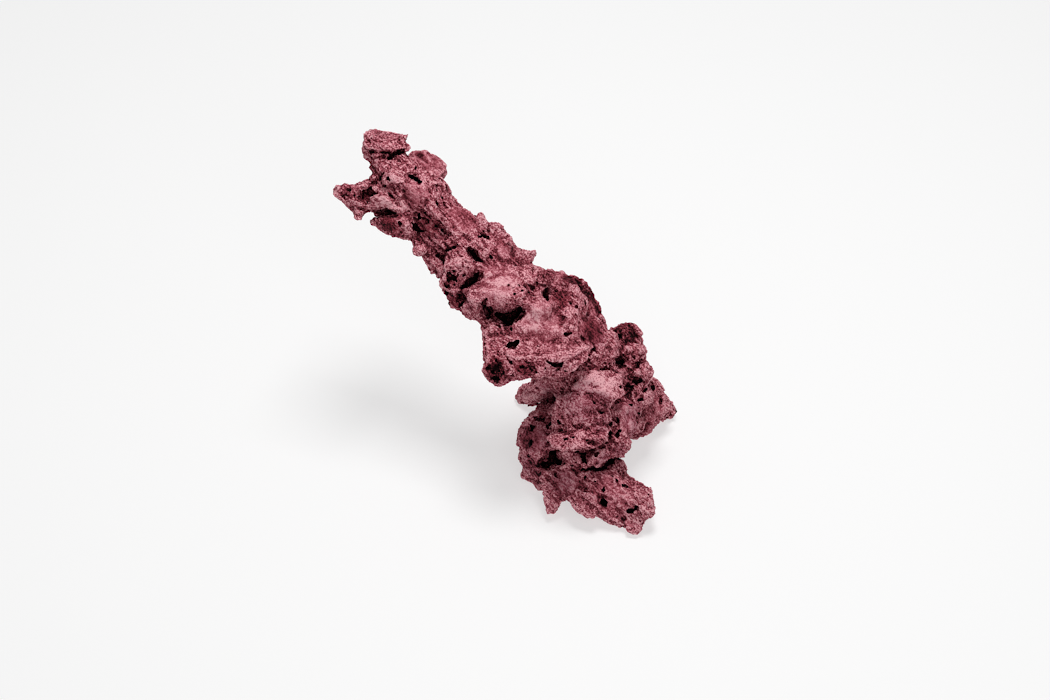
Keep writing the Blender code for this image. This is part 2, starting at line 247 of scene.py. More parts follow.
rockForm = {
    "sameCorner": 0.00001,   # metres within which the node's corners are one
    "firstVoxel": 0.0008,
    "softening": 5,
    "coarse": [
        ("CREASES", "BLENDER_ORIGINAL", 0.0120, -0.0030, 0.35, "porous"),
        ("CLOUDS", "VORONOI_F2_F1", 0.0120, 0.0026, 0.40, "porous"),
        ("CREASES", "BLENDER_ORIGINAL", 0.0050, 0.0014, 0.35, "porous"),
    ],
    "lastVoxel": 0.00058,
    "streaks": [
        ("RIDGES", "BLENDER_ORIGINAL", 0.0032, 0.0007, 0.6, "porous"),
        ("CREASES", "BLENDER_ORIGINAL", 0.0018, 0.0012, 0.35, "porous"),
    ],
    "fine": [
        ("CREASES", "BLENDER_ORIGINAL", 0.0016, 0.0007, 0.35, "porous"),
        ("CREASES", "BLENDER_ORIGINAL", 0.0012, 0.0007, 0.35, None),
    ],
    "streakStretch": 4.5,
    "streakPixels": ((395, 185), (545, 330)),   # the streaks run from the first to the second
    "smoothShare": 0.85,     # of the relief that a smooth patch loses
    "plateShare": 0.30,      # and that a plate loses
    "porousSteps": 20,       # different weights that a place can have
    "seenFade": 4,           # how soon faces that turn to the camera count as seen
    "triangles": 190000,
    "sharpAngle": math.radians(35),
    "bodyPixel": (545, 345),
}

cad = frame["nodes"]["reef_rock"]
rock = copyOf(cad, "reefRockSkin")
rock.data.materials.clear()
editWhole(rock, bpy.ops.mesh.remove_doubles, threshold=rockForm["sameCorner"])
evenSkin(rock, rockForm["firstVoxel"])
smoothSkin(rock, rockForm["softening"])
report(f"rock skin, {len(rock.data.polygons)} faces")


# Where the rock shows at a pixel of the photograph

def rockTree(piece):
    return BVHTree.FromObject(piece, bpy.context.evaluated_depsgraph_get())


def pixelHit(tree, x, y):
    eye = camera.location
    ray = (pixelOnPlane(x, y) - eye).normalized()
    return tree.ray_cast(eye, ray)[0], ray


# Plates with a nearly flat face: height above the skin (mm), the same all round or one for each corner,
# then the corners' pixels
plates = {
    "block face": ([0.2, 0.2, 0.2, 0.2, 0.2, 0.4, 0.8, 1, 1, 0.8, 0.4], [(366, 132), (373, 130.5),
        (385, 131), (396, 133.5), (408, 135), (405, 143), (402, 149), (390, 151), (378, 150),
        (368, 149), (363, 143)]),
    "far lobe": (0.4, [(411, 151), (424, 151), (436, 155), (443, 160), (447, 165), (444, 172),
        (440, 178), (436, 186), (428, 178), (421, 168), (415, 158)]),
    "brow": ([0.6, 0.6, 0.6, 0.6, 0.6, 0.8, 0.8, 0.8], [(378, 166), (388, 160), (400, 160), (408, 166),
        (410, 173), (402, 173), (390, 170), (380, 172)]),
    "head side": (0.4, [(404, 183), (412, 184), (424, 190), (430, 200), (424, 210), (412, 208),
        (406, 198)]),
    "boss": ([1.2, 1, 0.8, 0.8, 1.6, 2.6, 2.6, 2.2], [(387, 172.8), (392.7, 172.2), (398.5, 175.1),
        (405.4, 178.5), (404.2, 182), (396.2, 184.3), (390.4, 182), (387.6, 177.4)]),
    "jaw band": ([1.2, 0.8, 0.6, 0.6, 0.8, 0.8, 1.4, 2, 2.2, 2.4, 2.2, 1.8],
        [(366, 204), (373, 197), (381, 196), (388, 199), (396, 205), (403, 208), (404, 213), (396, 212),
        (389, 208.5), (380, 209), (371, 210.5), (363, 208)]),
    "horn face": ([0.4, 0.4, 0.4, 0.6, 0.8, 0.8, 0.6], [(342, 200), (350, 199), (360, 202), (366, 207),
        (366, 212), (357, 213), (349, 209)]),
    "chin": ([0.6, 0.6, 0.6, 0.6, 1, 1, 1, 0.8], [(375, 219), (386, 217), (398, 218), (404, 222),
        (404, 234), (396, 237), (386, 234), (377, 228)]),
    "drip": ([0.8, 0.8, 1.8, 1.6, 1.6, 1.4], [(404.2, 223.3), (409.9, 222.2), (411.7, 227.9),
        (413.4, 233.7), (407.7, 235.9), (404.2, 230.2)]),
    "arm band": (0.5, [(452, 206), (460, 207), (470, 211), (474, 217), (476, 228), (470, 236),
        (460, 232), (453, 222), (448, 212)]),
    "disc": (1, [(500, 241), (507, 240), (513, 245), (515, 252), (511, 259), (503, 260), (498, 254),
        (497, 247)]),
    "flap": (0.6, [(427, 259), (436, 257), (443, 262), (444, 272), (442, 280), (436, 276), (430, 268)]),
    "shoulder": (0.4, [(482, 264), (495, 262), (508, 264), (520, 266), (521, 274), (512, 276),
        (500, 276), (484, 277)]),
    "barnacle": (0.2, [(445, 266), (452, 260), (462, 259), (471, 262), (478, 269), (479, 277),
        (472, 284), (461, 289), (452, 290), (445, 284), (443, 275)]),
    "arm hole brow": (0.6, [(463, 240), (476, 240), (482, 246), (484, 256), (480, 257), (477, 250),
        (470, 246.5), (463, 247)]),
    "neck side": (0.3, [(430, 186), (440, 183), (447, 190), (450, 200), (448, 208), (440, 207),
        (432, 197)]),
    "upper shelf": ([0.8, 0.8, 0.8, 0.6, 0.6, 0.8, 0.9, 1, 1.2, 1.2, 1, 0.8],
        [(468, 290), (474, 284), (484, 279), (500, 273.5), (512, 274), (521, 279), (527, 288),
        (525, 297), (512, 301), (497, 301), (482, 297), (471, 294)]),
    "shelf front": ([1, 1.4, 1.4, 1.2, 0.8, 0.6, 0.6, 0.6, 0.8], [(486, 296), (497, 294), (510, 294),
        (523, 296), (520, 305), (512, 309.5), (503, 311), (495, 309), (488, 303)]),
    "shelf side": ([0.8, 1, 1.1, 0.8, 0.8, 1, 1, 0.8], [(469, 290), (482, 292), (494, 294), (495, 304),
        (489, 303), (484, 302), (476, 303), (470, 298)]),
    "shelf back": (0.6, [(519, 268), (531, 263), (534, 270), (537, 278), (533, 285), (524, 283),
        (520, 278)]),
    "far rim": ([0.4, 0.4, 0.4, 0.4, 0.4, 0.6, 0.6, 0.6, 0.6], [(545, 270.5), (553, 271), (560, 272),
        (574, 277), (582, 283), (577, 291), (566, 285), (556, 282), (546, 280)]),
    "far rim right": ([0.4, 0.4, 0.4, 0.4, 0.4, 0.6, 0.6, 0.6, 0.6], [(574, 277), (585, 286),
        (594, 299), (599, 312), (600, 318), (591, 316), (590, 305), (587, 297), (578, 290)]),
    "hollow floor": ([0, 0.2, 0.2, 0.2, 0.2, 0.2, 0, -0.8, -0.8], [(547, 289), (559, 286), (571, 290),
        (579, 297), (582, 305), (576, 313), (568, 318), (557, 313), (549, 303)]),
    "hollow rim": ([0.8, 1.2, 1.4, 1.4, 1.4, 1, 0.6, 1, 1.4, 1.4, 1], [(577.9, 292.7), (586.4, 297.6),
        (588.8, 304.8), (585.2, 315.8), (575.5, 321.8), (568.2, 329.1), (562.1, 325.5), (571.8, 317),
        (579.1, 309.7), (581.5, 303.6), (579, 297)]),
    "lower shelf left": ([0.1, 0.1, 0.1, 0.1, 0.8, 1, 0.8, 0.6, 0.4], [(484.5, 334), (500, 333),
        (518, 335), (534, 339), (536, 354), (524, 357), (510, 356), (498, 352), (485.5, 350)]),
    "head front": (0.4, [(372, 186), (382, 183.5), (395, 186), (403, 190), (402, 197), (392, 197.5),
        (384, 195), (374, 192)]),
    "toe top": (0.3, [(611, 503), (625, 499), (638, 503), (643, 512), (641, 520), (630, 520),
        (619, 515)]),
    "lower shelf right": ([0.1, 0.1, 0.1, 0.2, 0.5, 0.8, 1.1, 1.2, 1, 0.8],
        [(533, 340), (552, 342), (568, 343), (580, 342), (591, 347), (587, 353), (577, 357), (560, 358),
        (546, 357), (534, 356)]),
    "lower rim": ([1, 0.8, 0.3, 0.5, 0.7, 1, 1, 0.9, 1, 1], [(560, 355), (577, 354), (591, 347),
        (587, 359), (576, 369), (562, 377), (552, 378), (543, 376), (544, 364), (546, 355)]),
    "lower rim left": ([1, 1.2, 1.3, 1, 0.8, 0.8, 0.8], [(510, 356), (524, 355.5), (546, 356),
        (545, 374), (535, 376.5), (522, 376), (511, 372)]),
    "web": (0.4, [(579, 320), (590, 315), (600, 316), (606, 330), (608, 342), (598, 344), (588, 341),
        (577, 333)]),
    "flank": (0.8, [(594, 351), (603, 347), (611, 352), (613, 362), (608, 368), (598, 368), (590, 364),
        (589, 356)]),
    "boulder": ([0.6, 0.6, 0.6, 0.8, 1.2, 1.2, 0.8, 0.6, 0.6], [(613, 327), (620, 322), (630, 322),
        (638, 327), (643, 334), (636, 338), (626, 334), (618, 340), (612, 336)]),
    "tongue": ([0.4, 0.6, 0.8, 0.8, 0.8, 1, 1.2, 1.2, 1.4, 1.4, 1.6, 1.6, 1.2],
        [(571, 389), (578, 383), (586, 376.5), (598, 371), (612, 370.5), (622, 374), (622, 384),
        (625, 394), (619, 397), (613, 403), (605, 397), (596, 393), (584, 392)]),
    "nose": ([0.4, 0.4, 0.4, 0.4, 0.4, 0.4, 0.5, 0.5, 0.5, 0.6, 0.8, 1, 1, 0.8],
        [(551, 420), (553, 412), (556, 403), (562, 396), (571, 392), (582, 393), (594, 398), (605, 404),
        (611, 412), (611, 420), (606, 426), (590, 428), (570, 430), (556, 430)]),
    "spike face": (0.5, [(513, 246), (520, 250), (527, 251), (535, 250.5), (533, 258), (529, 264),
        (520, 267), (512, 262), (510, 254)]),
    "nodule back": (1, [(616, 404), (624, 402), (630, 406), (630, 413), (622, 416), (615, 412)]),
    "nodule right": (0.8, [(630, 404), (638, 404), (642, 410), (640, 416), (632, 416), (629, 410)]),
    "nodule front": (1.2, [(619, 418), (628, 415), (636, 418), (637, 428), (632, 436), (625, 436),
        (620, 428)]),
    "nodule side": (0.9, [(638, 417), (644, 416), (646, 424), (643, 432), (638, 430)]),
    "left foot": (0.5, [(518, 400), (524, 391), (536, 386), (550, 383), (566, 380), (575, 384),
        (566, 392), (552, 399), (540, 405), (526, 407)]),
    "cheek upper": (0.6, [(520, 428), (530, 420), (542, 421), (549, 430), (548, 442), (541, 451),
        (529, 452), (520, 446), (517, 436)]),
    "cheek lower": (0.6, [(521, 454), (532, 454), (540, 468), (552, 472), (556, 480), (548, 484),
        (536, 482), (526, 473)]),
    "right foot": ([0.4, 0.4, 0.4, 0.4, 0.4, 0.4, 0.6, 0.6, 0.6, 0.6, 0.5, 0.5],
        [(638, 397), (648, 384), (656, 380), (664, 392), (660, 402), (662, 414), (660, 422), (650, 432),
        (640, 436), (630, 440), (637, 425), (640, 410)]),
    "right toe": (0.4, [(664, 394), (671, 402), (677, 410), (671, 420), (664, 424), (662, 414),
        (660, 403)]),
    "ledge": ([1.6, 1, 0.8, 0.6, 0.6, 0.6, 0.8, 1.2, 1.8, 2, 2.2, 2.2, 2.2, 2.2, 2.2],
        [(546.3, 438.2), (550.9, 433.6), (561.7, 432.1), (566.3, 430.6), (581.6, 427.5), (590.8, 430),
        (603, 426), (609.1, 429.8), (607, 438.2), (600, 445.9), (590.8, 447.5), (581.6, 447),
        (572.4, 449), (563.2, 450), (552.5, 446.5)]),
    "step left": ([1, 1, 2, 2.4, 2.6, 2.4], [(557.1, 452), (566.3, 450.5), (577, 456.6), (573.9, 464.3),
        (563.2, 461.2), (558.6, 458.1)]),
    "step right": ([1.2, 1, 1.2, 1.6, 2.2, 2.6, 2.6, 2.2], [(587.7, 458.1), (596.9, 450), (604.5, 448),
        (610.1, 451), (611.7, 457.1), (603, 462.7), (592.3, 465.8), (586.2, 464.3)]),
    "foot top": ([0.6, 0.6, 0.6, 0.6, 0.6, 0.6, 0.6, 0.6, 0.8, 0.8, 0.8, 0.8, 0.6],
        [(583, 480), (592, 475), (603, 473), (612, 476), (617, 485), (626, 491), (640, 493), (645, 500),
        (636, 505), (620, 502), (610, 497), (598, 493), (588, 490)]),
    "foot front": (0.8, [(580, 491), (596, 494), (598, 508), (606, 513), (618, 520), (628, 527),
        (612, 525), (600, 519), (588, 512), (578, 502)]),
    "toe": (0.5, [(628, 517), (636, 516), (641, 524), (642, 530), (635, 534), (627, 529)]),
    "foot side": (0.6, [(556, 472), (566, 468), (575, 472), (577, 484), (572, 495), (564, 499),
        (558, 490)]),
}
# How far the middle of a plate swells (mm)
swells = {
    "nose": 2.0, "shelf front": 1.5, "boss": 1.0, "jaw band": 0.8, "chin": 1.5, "barnacle": 1.2,
    "hollow floor": -1.0, "nodule back": 1.2, "nodule right": 1.2, "nodule front": 1.5, "nodule side": 1.0,
    "left foot": 1.5, "cheek upper": 1.5, "cheek lower": 1.2, "right foot": 1.2, "right toe": 0.8,
    "boulder": 1.0, "web": 0.6, "tongue": 0.8, "flank": 1.0, "foot side": 1.2, "far lobe": 0.6,
    "arm band": 0.8, "disc": 1.2,
}
plateForm = {
    "under": 3,           # mm that a plate's filling goes under the skin
    "above": 4,           # mm cleared over a plate
    "rise": 2.5,          # mm that flattening may lift a corner
    "sink": 0.5,          # and lower it
    "bulgeKept": 0.75,    # share of the skin's own bulge that a plate keeps
    "bulgeLimit": 8,      # mm
    "clearing": 2,        # mm more cleared over a plate's middle
    "nearest": 0.012,     # metres that a corner may lie before the middle one
    "farthest": 0.008,    # and behind it
    "missed": 9,          # metres from the camera, for a corner that misses the rock
    "halfway": 0.75,      # share of a cap's swell that is reached halfway to its middle
    "leastSlant": 0.2,    # faces more edge-on than this would give huge steps
    "spot": (0.4, 0.1),   # shares of a plate's short and long side in the radius of its smooth spot
    "voxel": 0.0005,
    "rounding": 5,        # smoothing steps for the plates' edges
    "grain": [("CREASES", "BLENDER_ORIGINAL", 0.0035, 0.0006, 0.35, None)],
}

# Thin fins at the outline: the pixel whose depth they take, then the corners' pixels
fins = {
    "arm fin": ((478, 229), [(475, 219), (478, 216), (482.5, 213.5), (485.5, 217), (488, 224),
        (486, 231), (478, 231)]),
    "second fin": ((495, 238), [(489.2, 227.5), (494, 223), (496.5, 225.5), (500, 228.5),
        (504.5, 232.5), (509, 233.5), (512.5, 240), (502, 246), (491, 236)]),
    "spike": ((522, 263), [(516, 248), (520, 250.5), (527, 251.5), (536, 249.5), (536.5, 251.5),
        (533, 257), (530, 262.5), (524, 267), (514, 262)]),
    "block corner": ((402, 143), [(399, 133.5), (408.5, 134.8), (405, 143), (400, 142)]),
    "block back": ((402, 147), [(402, 143), (409, 144), (411, 148), (408, 152), (402, 151)]),
    "horn drop": ((358, 212), [(356, 209), (363, 211), (362.5, 218), (360.5, 221), (357.5, 219)]),
    "right foot": ((650, 424), [(630, 424), (655, 420), (652, 433), (643, 437), (634, 440),
        (629, 438)]),
    "right crest": ((652, 384), [(648, 374), (655, 378), (661, 383), (665, 391), (652, 392)]),
    "cheek top": ((530, 424), [(521, 423), (528, 417), (538, 412), (542, 420), (530, 430)]),
    "boulder brow": ((634, 332), [(628, 322), (637, 325), (643.5, 334), (640, 338), (630, 334)]),
    "toe tip": ((632, 522), [(624, 520), (640, 518), (641, 524), (643, 529), (639, 533), (634, 535),
        (627, 531)]),
    "foot spike": ((553, 484), [(541.5, 484), (552, 480), (562, 482), (572, 489), (567, 499),
        (561, 503), (556, 508), (552, 512.5), (547, 515), (544.5, 505)]),
    "rim join": ((536, 284), [(533, 265), (541, 267), (547, 270), (555, 272), (553, 283), (540, 285),
        (534, 278)]),
    "arch": ((577, 494), [(567, 497), (573, 508), (580, 514), (587, 518), (594, 519), (598, 510),
        (590, 498), (578, 491)]),
}
finForm = {
    "front": 0.0003,      # metres before the plane of a fin's corners
    "back": 0.0018,       # and behind it
    "frontSwell": 0.2,    # mm more in the middle, toward the camera
    "backSwell": -3.0,
}

# Lumps that stand out: x, y, half width, half height (pixels), turn (degrees), height (mm)
lumps = {
    "barnacle": [(451, 267, 4, 3, 30, 1.4), (458, 264, 4, 3, 10, 1.6), (466, 265, 4, 3, -10, 1.5),
        (473, 269, 3, 4, -30, 1.2), (445, 277, 2.5, 6, 5, 1.4), (480, 271, 2.5, 4, 0, 1.4),
        (446, 286, 3, 4, 0, 1.2)],
    "nodules": [(628, 426, 6, 7, 0, 1.2), (624, 409, 5, 4.5, 0, 1.2)],
    "ledge top": [(561, 430.5, 8, 3, 8, 1.2), (577, 428.5, 10, 3, 5, 1.2), (594, 428, 9, 3, 0, 1.2)],
    "tongue root": [(580, 385, 10, 5, 30, 2), (590, 379, 8, 5, 30, 1.5), (589, 387.5, 11, 4, 3, 1.8)],
    "seams": [(588, 344, 9, 3, -42, 3), (547.5, 294, 4, 7, 0, 4.5), (584, 291, 9, 2.5, -55, 2),
        (589, 303, 2.5, 6, 0, 1.5), (378, 154.5, 7, 3, 0, 1.8)],
    "rim bumps": [(549, 272, 4.5, 3, 0, 1), (562, 274, 4, 3, -5, 1.2), (576, 280, 5, 3.5, -30, 1.2),
        (586, 289, 3.5, 4, -45, 1.2), (596, 304, 3, 4, -60, 1.2)],
    "neck bumps": [(367, 156, 3.5, 4, 0, 1.2), (374, 178, 3, 4.5, 0, 1.2), (372, 168, 3, 3, 0, 1),
        (444, 187, 4, 5, 30, 1.2)],
    "knob": [(419.5, 250, 7, 6.5, 0, 2.4)],
    "flank": [(627, 350, 7, 5, 0, 2), (637, 372, 6, 5, 20, 2), (640, 350, 5, 5, 0, 1.8)],
    "foot": [(596, 480, 5, 4, 0, 1.4), (620, 505, 4, 3, 0, 1.4), (645, 497, 5, 4, 0, 1.6)],
    "cheek": [(545, 478, 6, 5, 0, 1.6), (534, 414, 6, 3, 10, 1.6)],
    "arm": [(481, 246, 5, 4, -30, 1.4), (497, 236, 5, 4, -40, 1.6), (486, 253, 4, 5, 0, 1.4)],
}
lumpForm = {
    "depth": 5,           # mm that a lump goes under the skin
    "depthShare": 0.4,    # or this many mm to a pixel of its half width, where that is more
}

# Stone past the outline, cut away along the camera's sight lines: depth pixel, corners' pixels
trims = {
    "far rim": ((590, 302), [(598, 298), (612, 300), (616, 316), (612, 322), (609.5, 331), (607.5, 331),
        (605, 320), (601, 313), (600, 306)]),
    "spike top": ((522, 258), [(514, 236), (515, 245), (521, 249.6), (530, 250), (538, 249), (546, 246),
        (546, 236)]),
    "spike side": ((522, 258), [(538.2, 249), (537.5, 252), (534.5, 257), (531.5, 262), (533, 266),
        (545, 264), (552, 254), (546, 248)]),
    "shelf left": ((492, 345), [(466, 332), (482, 332), (483, 345), (483.5, 358), (480, 364),
        (466, 364)]),
    "block top": ((385, 141), [(352, 118), (422, 118), (422, 134.5), (408.5, 134), (396, 132.5),
        (385, 130.5), (373, 129.5), (365, 131), (361, 138), (352, 140)]),
    "shelf back": ((550, 292), [(534, 258), (550, 260), (562, 266), (562, 271), (553, 270.5),
        (545, 269), (537, 266.5), (533.5, 264)]),
}
trimForm = {"before": 15, "behind": 40}     # mm that a trim reaches before and behind its pixel's depth

# Patches that the photograph shows smooth: x, y, radius (pixels)
smoothPatches = [
    (500, 283, 22), (480, 292, 12), (540, 322, 20), (524, 330, 14), (548, 346, 24), (520, 350, 12),
    (575, 345, 16), (600, 383, 17), (588, 384, 12), (612, 385, 12), (660, 408, 20), (648, 424, 12),
    (582, 408, 14), (428, 160, 19), (415, 158, 10), (437, 168, 10), (525, 392, 12), (545, 388, 12),
    (470, 225, 12), (590, 330, 14), (600, 340, 10), (575, 285, 10), (395, 143, 8), (531, 254, 9),
    (523, 256, 8), (600, 393, 9), (462, 216, 11), (458, 227, 10), (497, 246, 12), (507, 257, 10),
    (495, 230, 8), (516, 256, 9), (482, 221, 7), (580, 386, 9), (425, 184, 11), (438, 195, 9),
    (412, 195, 9), (432, 158, 12), (535, 395, 10), (612, 500, 9), (585, 498, 8), (664, 408, 14),
    (645, 425, 12), (380, 141, 8), (582, 437, 12), (560, 438, 9), (530, 275, 12), (652, 395, 13),
    (657, 418, 12), (622, 410, 10), (628, 426, 11), (560, 315, 14), (390, 226, 12), (505, 250, 10),
    (525, 256, 10), (490, 283, 14), (535, 438, 10),
]


def plateSpots():
    # a round spot for each plate: x, y, radius (pixels)
    spots = []
    for heights, outline in plates.values():
        across = np.array(outline)
        span = across.max(axis=0) - across.min(axis=0)
        short, long = plateForm["spot"]
        spots.append((*across.mean(axis=0), short * span.min() + long * span.max()))
    return spots


# A spot weighs 1 in its middle, and 0 from about 1.2 of its radius on
spotFade = {"middle": 2.6, "perRadius": 2.2}


def nearness(tree, places, spots):
    weights = np.zeros(len(places))
    for x, y, radius in spots:
        centre, ray = pixelHit(tree, x, y)
        if centre is None:
            continue
        gaps = np.linalg.norm(places - np.array(centre), axis=1) / (radius * cameraLook["pixel"])
        weight = np.clip(spotFade["middle"] - spotFade["perRadius"] * gaps, 0, 1)
        weights = np.maximum(weights, weight)
    return weights


def markPorous(piece, seen=1.0):
    # how strongly each place takes grain, pits and crumbs
    # seen is what is left of the weight on the faces that look at the camera
    tree = rockTree(piece)
    places = vertexPlaces(piece)
    weights = 1 - np.maximum(rockForm["smoothShare"] * nearness(tree, places, smoothPatches),
                             rockForm["plateShare"] * nearness(tree, places, plateSpots()))
    if seen < 1:
        facing = vertexValues(piece, "normal") @ np.array(camera.location.normalized())
        weights = weights * np.clip(1 - (1 - seen) * rockForm["seenFade"] * facing, seen, 1)
    group = piece.vertex_groups.get("porous") or piece.vertex_groups.new(name="porous")
    steps = rockForm["porousSteps"]
    levels = np.round(weights * steps).astype(int)
    for level in range(steps + 1):
        chosen = np.nonzero(levels == level)[0].tolist()
        if chosen:
            group.add(chosen, level / steps, "REPLACE")


def streakGuide(tree):
    # an empty whose long axis runs the way that the stone's streaks do
    first, second = [pixelHit(tree, x, y)[0] for x, y in rockForm["streakPixels"]]
    bpy.ops.object.empty_add(location=(0, 0, 0),
                             rotation=(second - first).to_track_quat("X", "Z").to_euler())
    guide = bpy.context.object
    guide.scale = (rockForm["streakStretch"], 1, 1)
    bpy.context.view_layer.update()
    return guide


guide = streakGuide(rockTree(rock))
streakTurn = guide.rotation_euler.copy()
markPorous(rock)
roughenSkin(rock, rockForm["coarse"])
report(f"rock roughened, {len(rock.data.polygons)} faces")


def sightPrism(name, corners, above, below):
    # a closed prism along the camera's sight lines, above and below its corners (mm)
    front = [place - ray * above / 1000 for place, ray in corners]
    back = [place + ray * below / 1000 for place, ray in corners]
    return closedPrism(name, front, back)


def lensPrism(name, corners):
    # thin along its outline and thicker in the middle
    front = [place - ray * finForm["front"] for place, ray in corners]
    back = [place + ray * finForm["back"] for place, ray in corners]
    return closedPrism(name, front, back, finForm["frontSwell"], finForm["backSwell"])


def closedPrism(name, front, back, frontSwell=0.0, backSwell=0.0):
    # each cap swells toward the camera at its middle (mm), and by a share of that halfway to it
    count = len(front)
    rings = [list(front), list(back)]
    for corners, swelling in ((front, frontSwell), (back, backSwell)):
        middle = sum(corners, Vector()) / count
        lift = (camera.location - middle).normalized() * swelling / 1000
        rings.append([(corner + middle) / 2 + plateForm["halfway"] * lift for corner in corners])
        rings.append([middle + lift])
    faces = []
    for i in range(count):
        j = (i + 1) % count
        faces.append((i, j, count + j, count + i))
        for outer, inner in ((0, 2 * count), (count, 3 * count + 1)):
            faces.append((outer + i, outer + j, inner + j, inner + i))
            faces.append((inner + i, inner + j, inner + count))
    mesh = bpy.data.meshes.new(name)
    mesh.from_pydata([tuple(point) for ring in rings for point in ring], [], faces)
    piece = bpy.data.objects.new(name, mesh)
    bpy.context.scene.collection.objects.link(piece)
    editWhole(piece, bpy.ops.mesh.normals_make_consistent, inside=False)
    return piece


def outlineOnRock(tree, outline):
    # a corner that looks past the rock's edge is brought back to the others' depth
    eye = camera.location
    rays = []
    reaches = []
    for x, y in outline:
        place, ray = pixelHit(tree, x, y)
        rays.append(ray)
        reaches.append((place - eye).length if place else plateForm["missed"])
    middle = sorted(reaches)[len(reaches) // 2]
    nearest = middle - plateForm["nearest"]
    farthest = middle + plateForm["farthest"]
    return [(eye + ray * min(max(reach, nearest), farthest), ray) for ray, reach in zip(rays, reaches)]


def sightBall(tree, spot, above, depth):
    # an ellipsoid that faces the camera at a pixel, from above the skin to a depth under it (mm)
    x, y, wide, tall, turn = spot
    place, ray = pixelHit(tree, x, y)
    if place is None:
        return None
    look = Matrix.Rotation(math.pi / 2 - cameraLook["lookDown"], 4, "X")
    turned = look @ Matrix.Rotation(math.radians(turn), 4, "Z")
    bpy.ops.object.select_all(action="DESELECT")
    bpy.ops.mesh.primitive_ico_sphere_add(
        subdivisions=3, radius=1,
        location=place + ray * (depth - above) / 2000, rotation=turned.to_euler(),
        scale=(wide * cameraLook["pixel"], tall * cameraLook["pixel"], (depth + above) / 2000))
    return bpy.context.object


def plateCorners(corners, heights):
    # the corners, lifted by their heights and brought close to the flat face that fits them best
    lifted = np.array([place - ray * height / 1000 for (place, ray), height in zip(corners, heights)])
    middle = lifted.mean(axis=0)
    normal = Vector(np.linalg.svd(lifted - middle)[2][2])
    flat = []
    for (place, ray), point in zip(corners, lifted):
        slant = normal.dot(ray)
        slant = math.copysign(max(abs(slant), plateForm["leastSlant"]), slant)
        step = normal.dot(Vector(middle - point)) / slant
        step = min(max(step, -plateForm["rise"] / 1000), plateForm["sink"] / 1000)
        flat.append((Vector(point) + ray * step, ray))
    return flat


def bulgeOver(tree, face):
    # how far the skin stands over the middle of a face (mm)
    middle = sum(face, Vector()) / len(face)
    ray = (middle - camera.location).normalized()
    place = tree.ray_cast(camera.location, ray)[0]
    if place is None:
        return 0.0
    return min(max((middle - place).dot(ray) * 1000, 0), plateForm["bulgeLimit"])


def addPlates(rock):
    # each plate is filled up to its face, and what stands over the face is cleared
    tree = rockTree(rock)
    under = plateForm["under"] / 1000
    above = plateForm["above"] / 1000
    fills = []
    cutters = []
    for name, (heights, outline) in plates.items():
        corners = outlineOnRock(tree, outline)
        faces = plateCorners(corners, heights if isinstance(heights, list) else [heights] * len(outline))
        deep = []
        high = []
        for (skin, ray), (face, ray) in zip(corners, faces):
            rise = (skin - face).dot(ray)
            deep.append(face + ray * (max(rise, 0) + under))
            high.append(face - ray * (max(-rise, 0) + above))
        front = [face for face, ray in faces]
        swelling = swells.get(name, 0.0) + plateForm["bulgeKept"] * bulgeOver(tree, front)
        fills.append(closedPrism(name, front, deep, frontSwell=swelling))
        cleared = swelling + plateForm["clearing"]
        cutters.append(closedPrism(name, high, front, frontSwell=cleared, backSwell=swelling))
    fill = joinAll("plateFills", fills)
    evenSkin(fill, plateForm["voxel"])
    smoothSkin(fill, plateForm["rounding"])
    cutter = joinAll("plateCutters", cutters + trimCutters(tree))
    evenSkin(cutter, plateForm["voxel"])
    smoothSkin(cutter, plateForm["rounding"])
    rock = joinAll("reefRockSkin", [rock, fill])
    evenSkin(rock, rockForm["lastVoxel"])
    carve(rock, cutter)
    return rock


def trimCutters(tree):
    return [sightPrism(name, pointsAtDepth(tree, anchor, outline), trimForm["before"], trimForm["behind"])
            for name, (anchor, outline) in trims.items()]


def pointsAtDepth(tree, anchor, outline):
    # corners on the plane through the anchor's point that faces the camera
    eye = camera.location
    place, middle = pixelHit(tree, *anchor)
    corners = []
    for x, y in outline:
        ray = (pixelOnPlane(x, y) - eye).normalized()
        corners.append((eye + ray * ((place - eye).dot(middle) / ray.dot(middle)), ray))
    return corners


def addRaised(rock, crumbs):
    # fins, lumps and crumbs, joined to the rock
    tree = rockTree(rock)
    pieces = []
    for name, (anchor, outline) in fins.items():
        pieces.append(lensPrism(name, pointsAtDepth(tree, anchor, outline)))
    for name, spots in lumps.items():
        for x, y, wide, tall, turn, height in spots:
            depth = max(lumpForm["depth"], lumpForm["depthShare"] * wide)
            ball = sightBall(tree, (x, y, wide, tall, turn), height, depth)
            if ball:
                pieces.append(ball)
    raised = joinAll("raised", pieces)
    evenSkin(raised, plateForm["voxel"])
    roughenSkin(raised, plateForm["grain"])
    return joinAll("reefRockSkin", [rock, raised, crumbs])


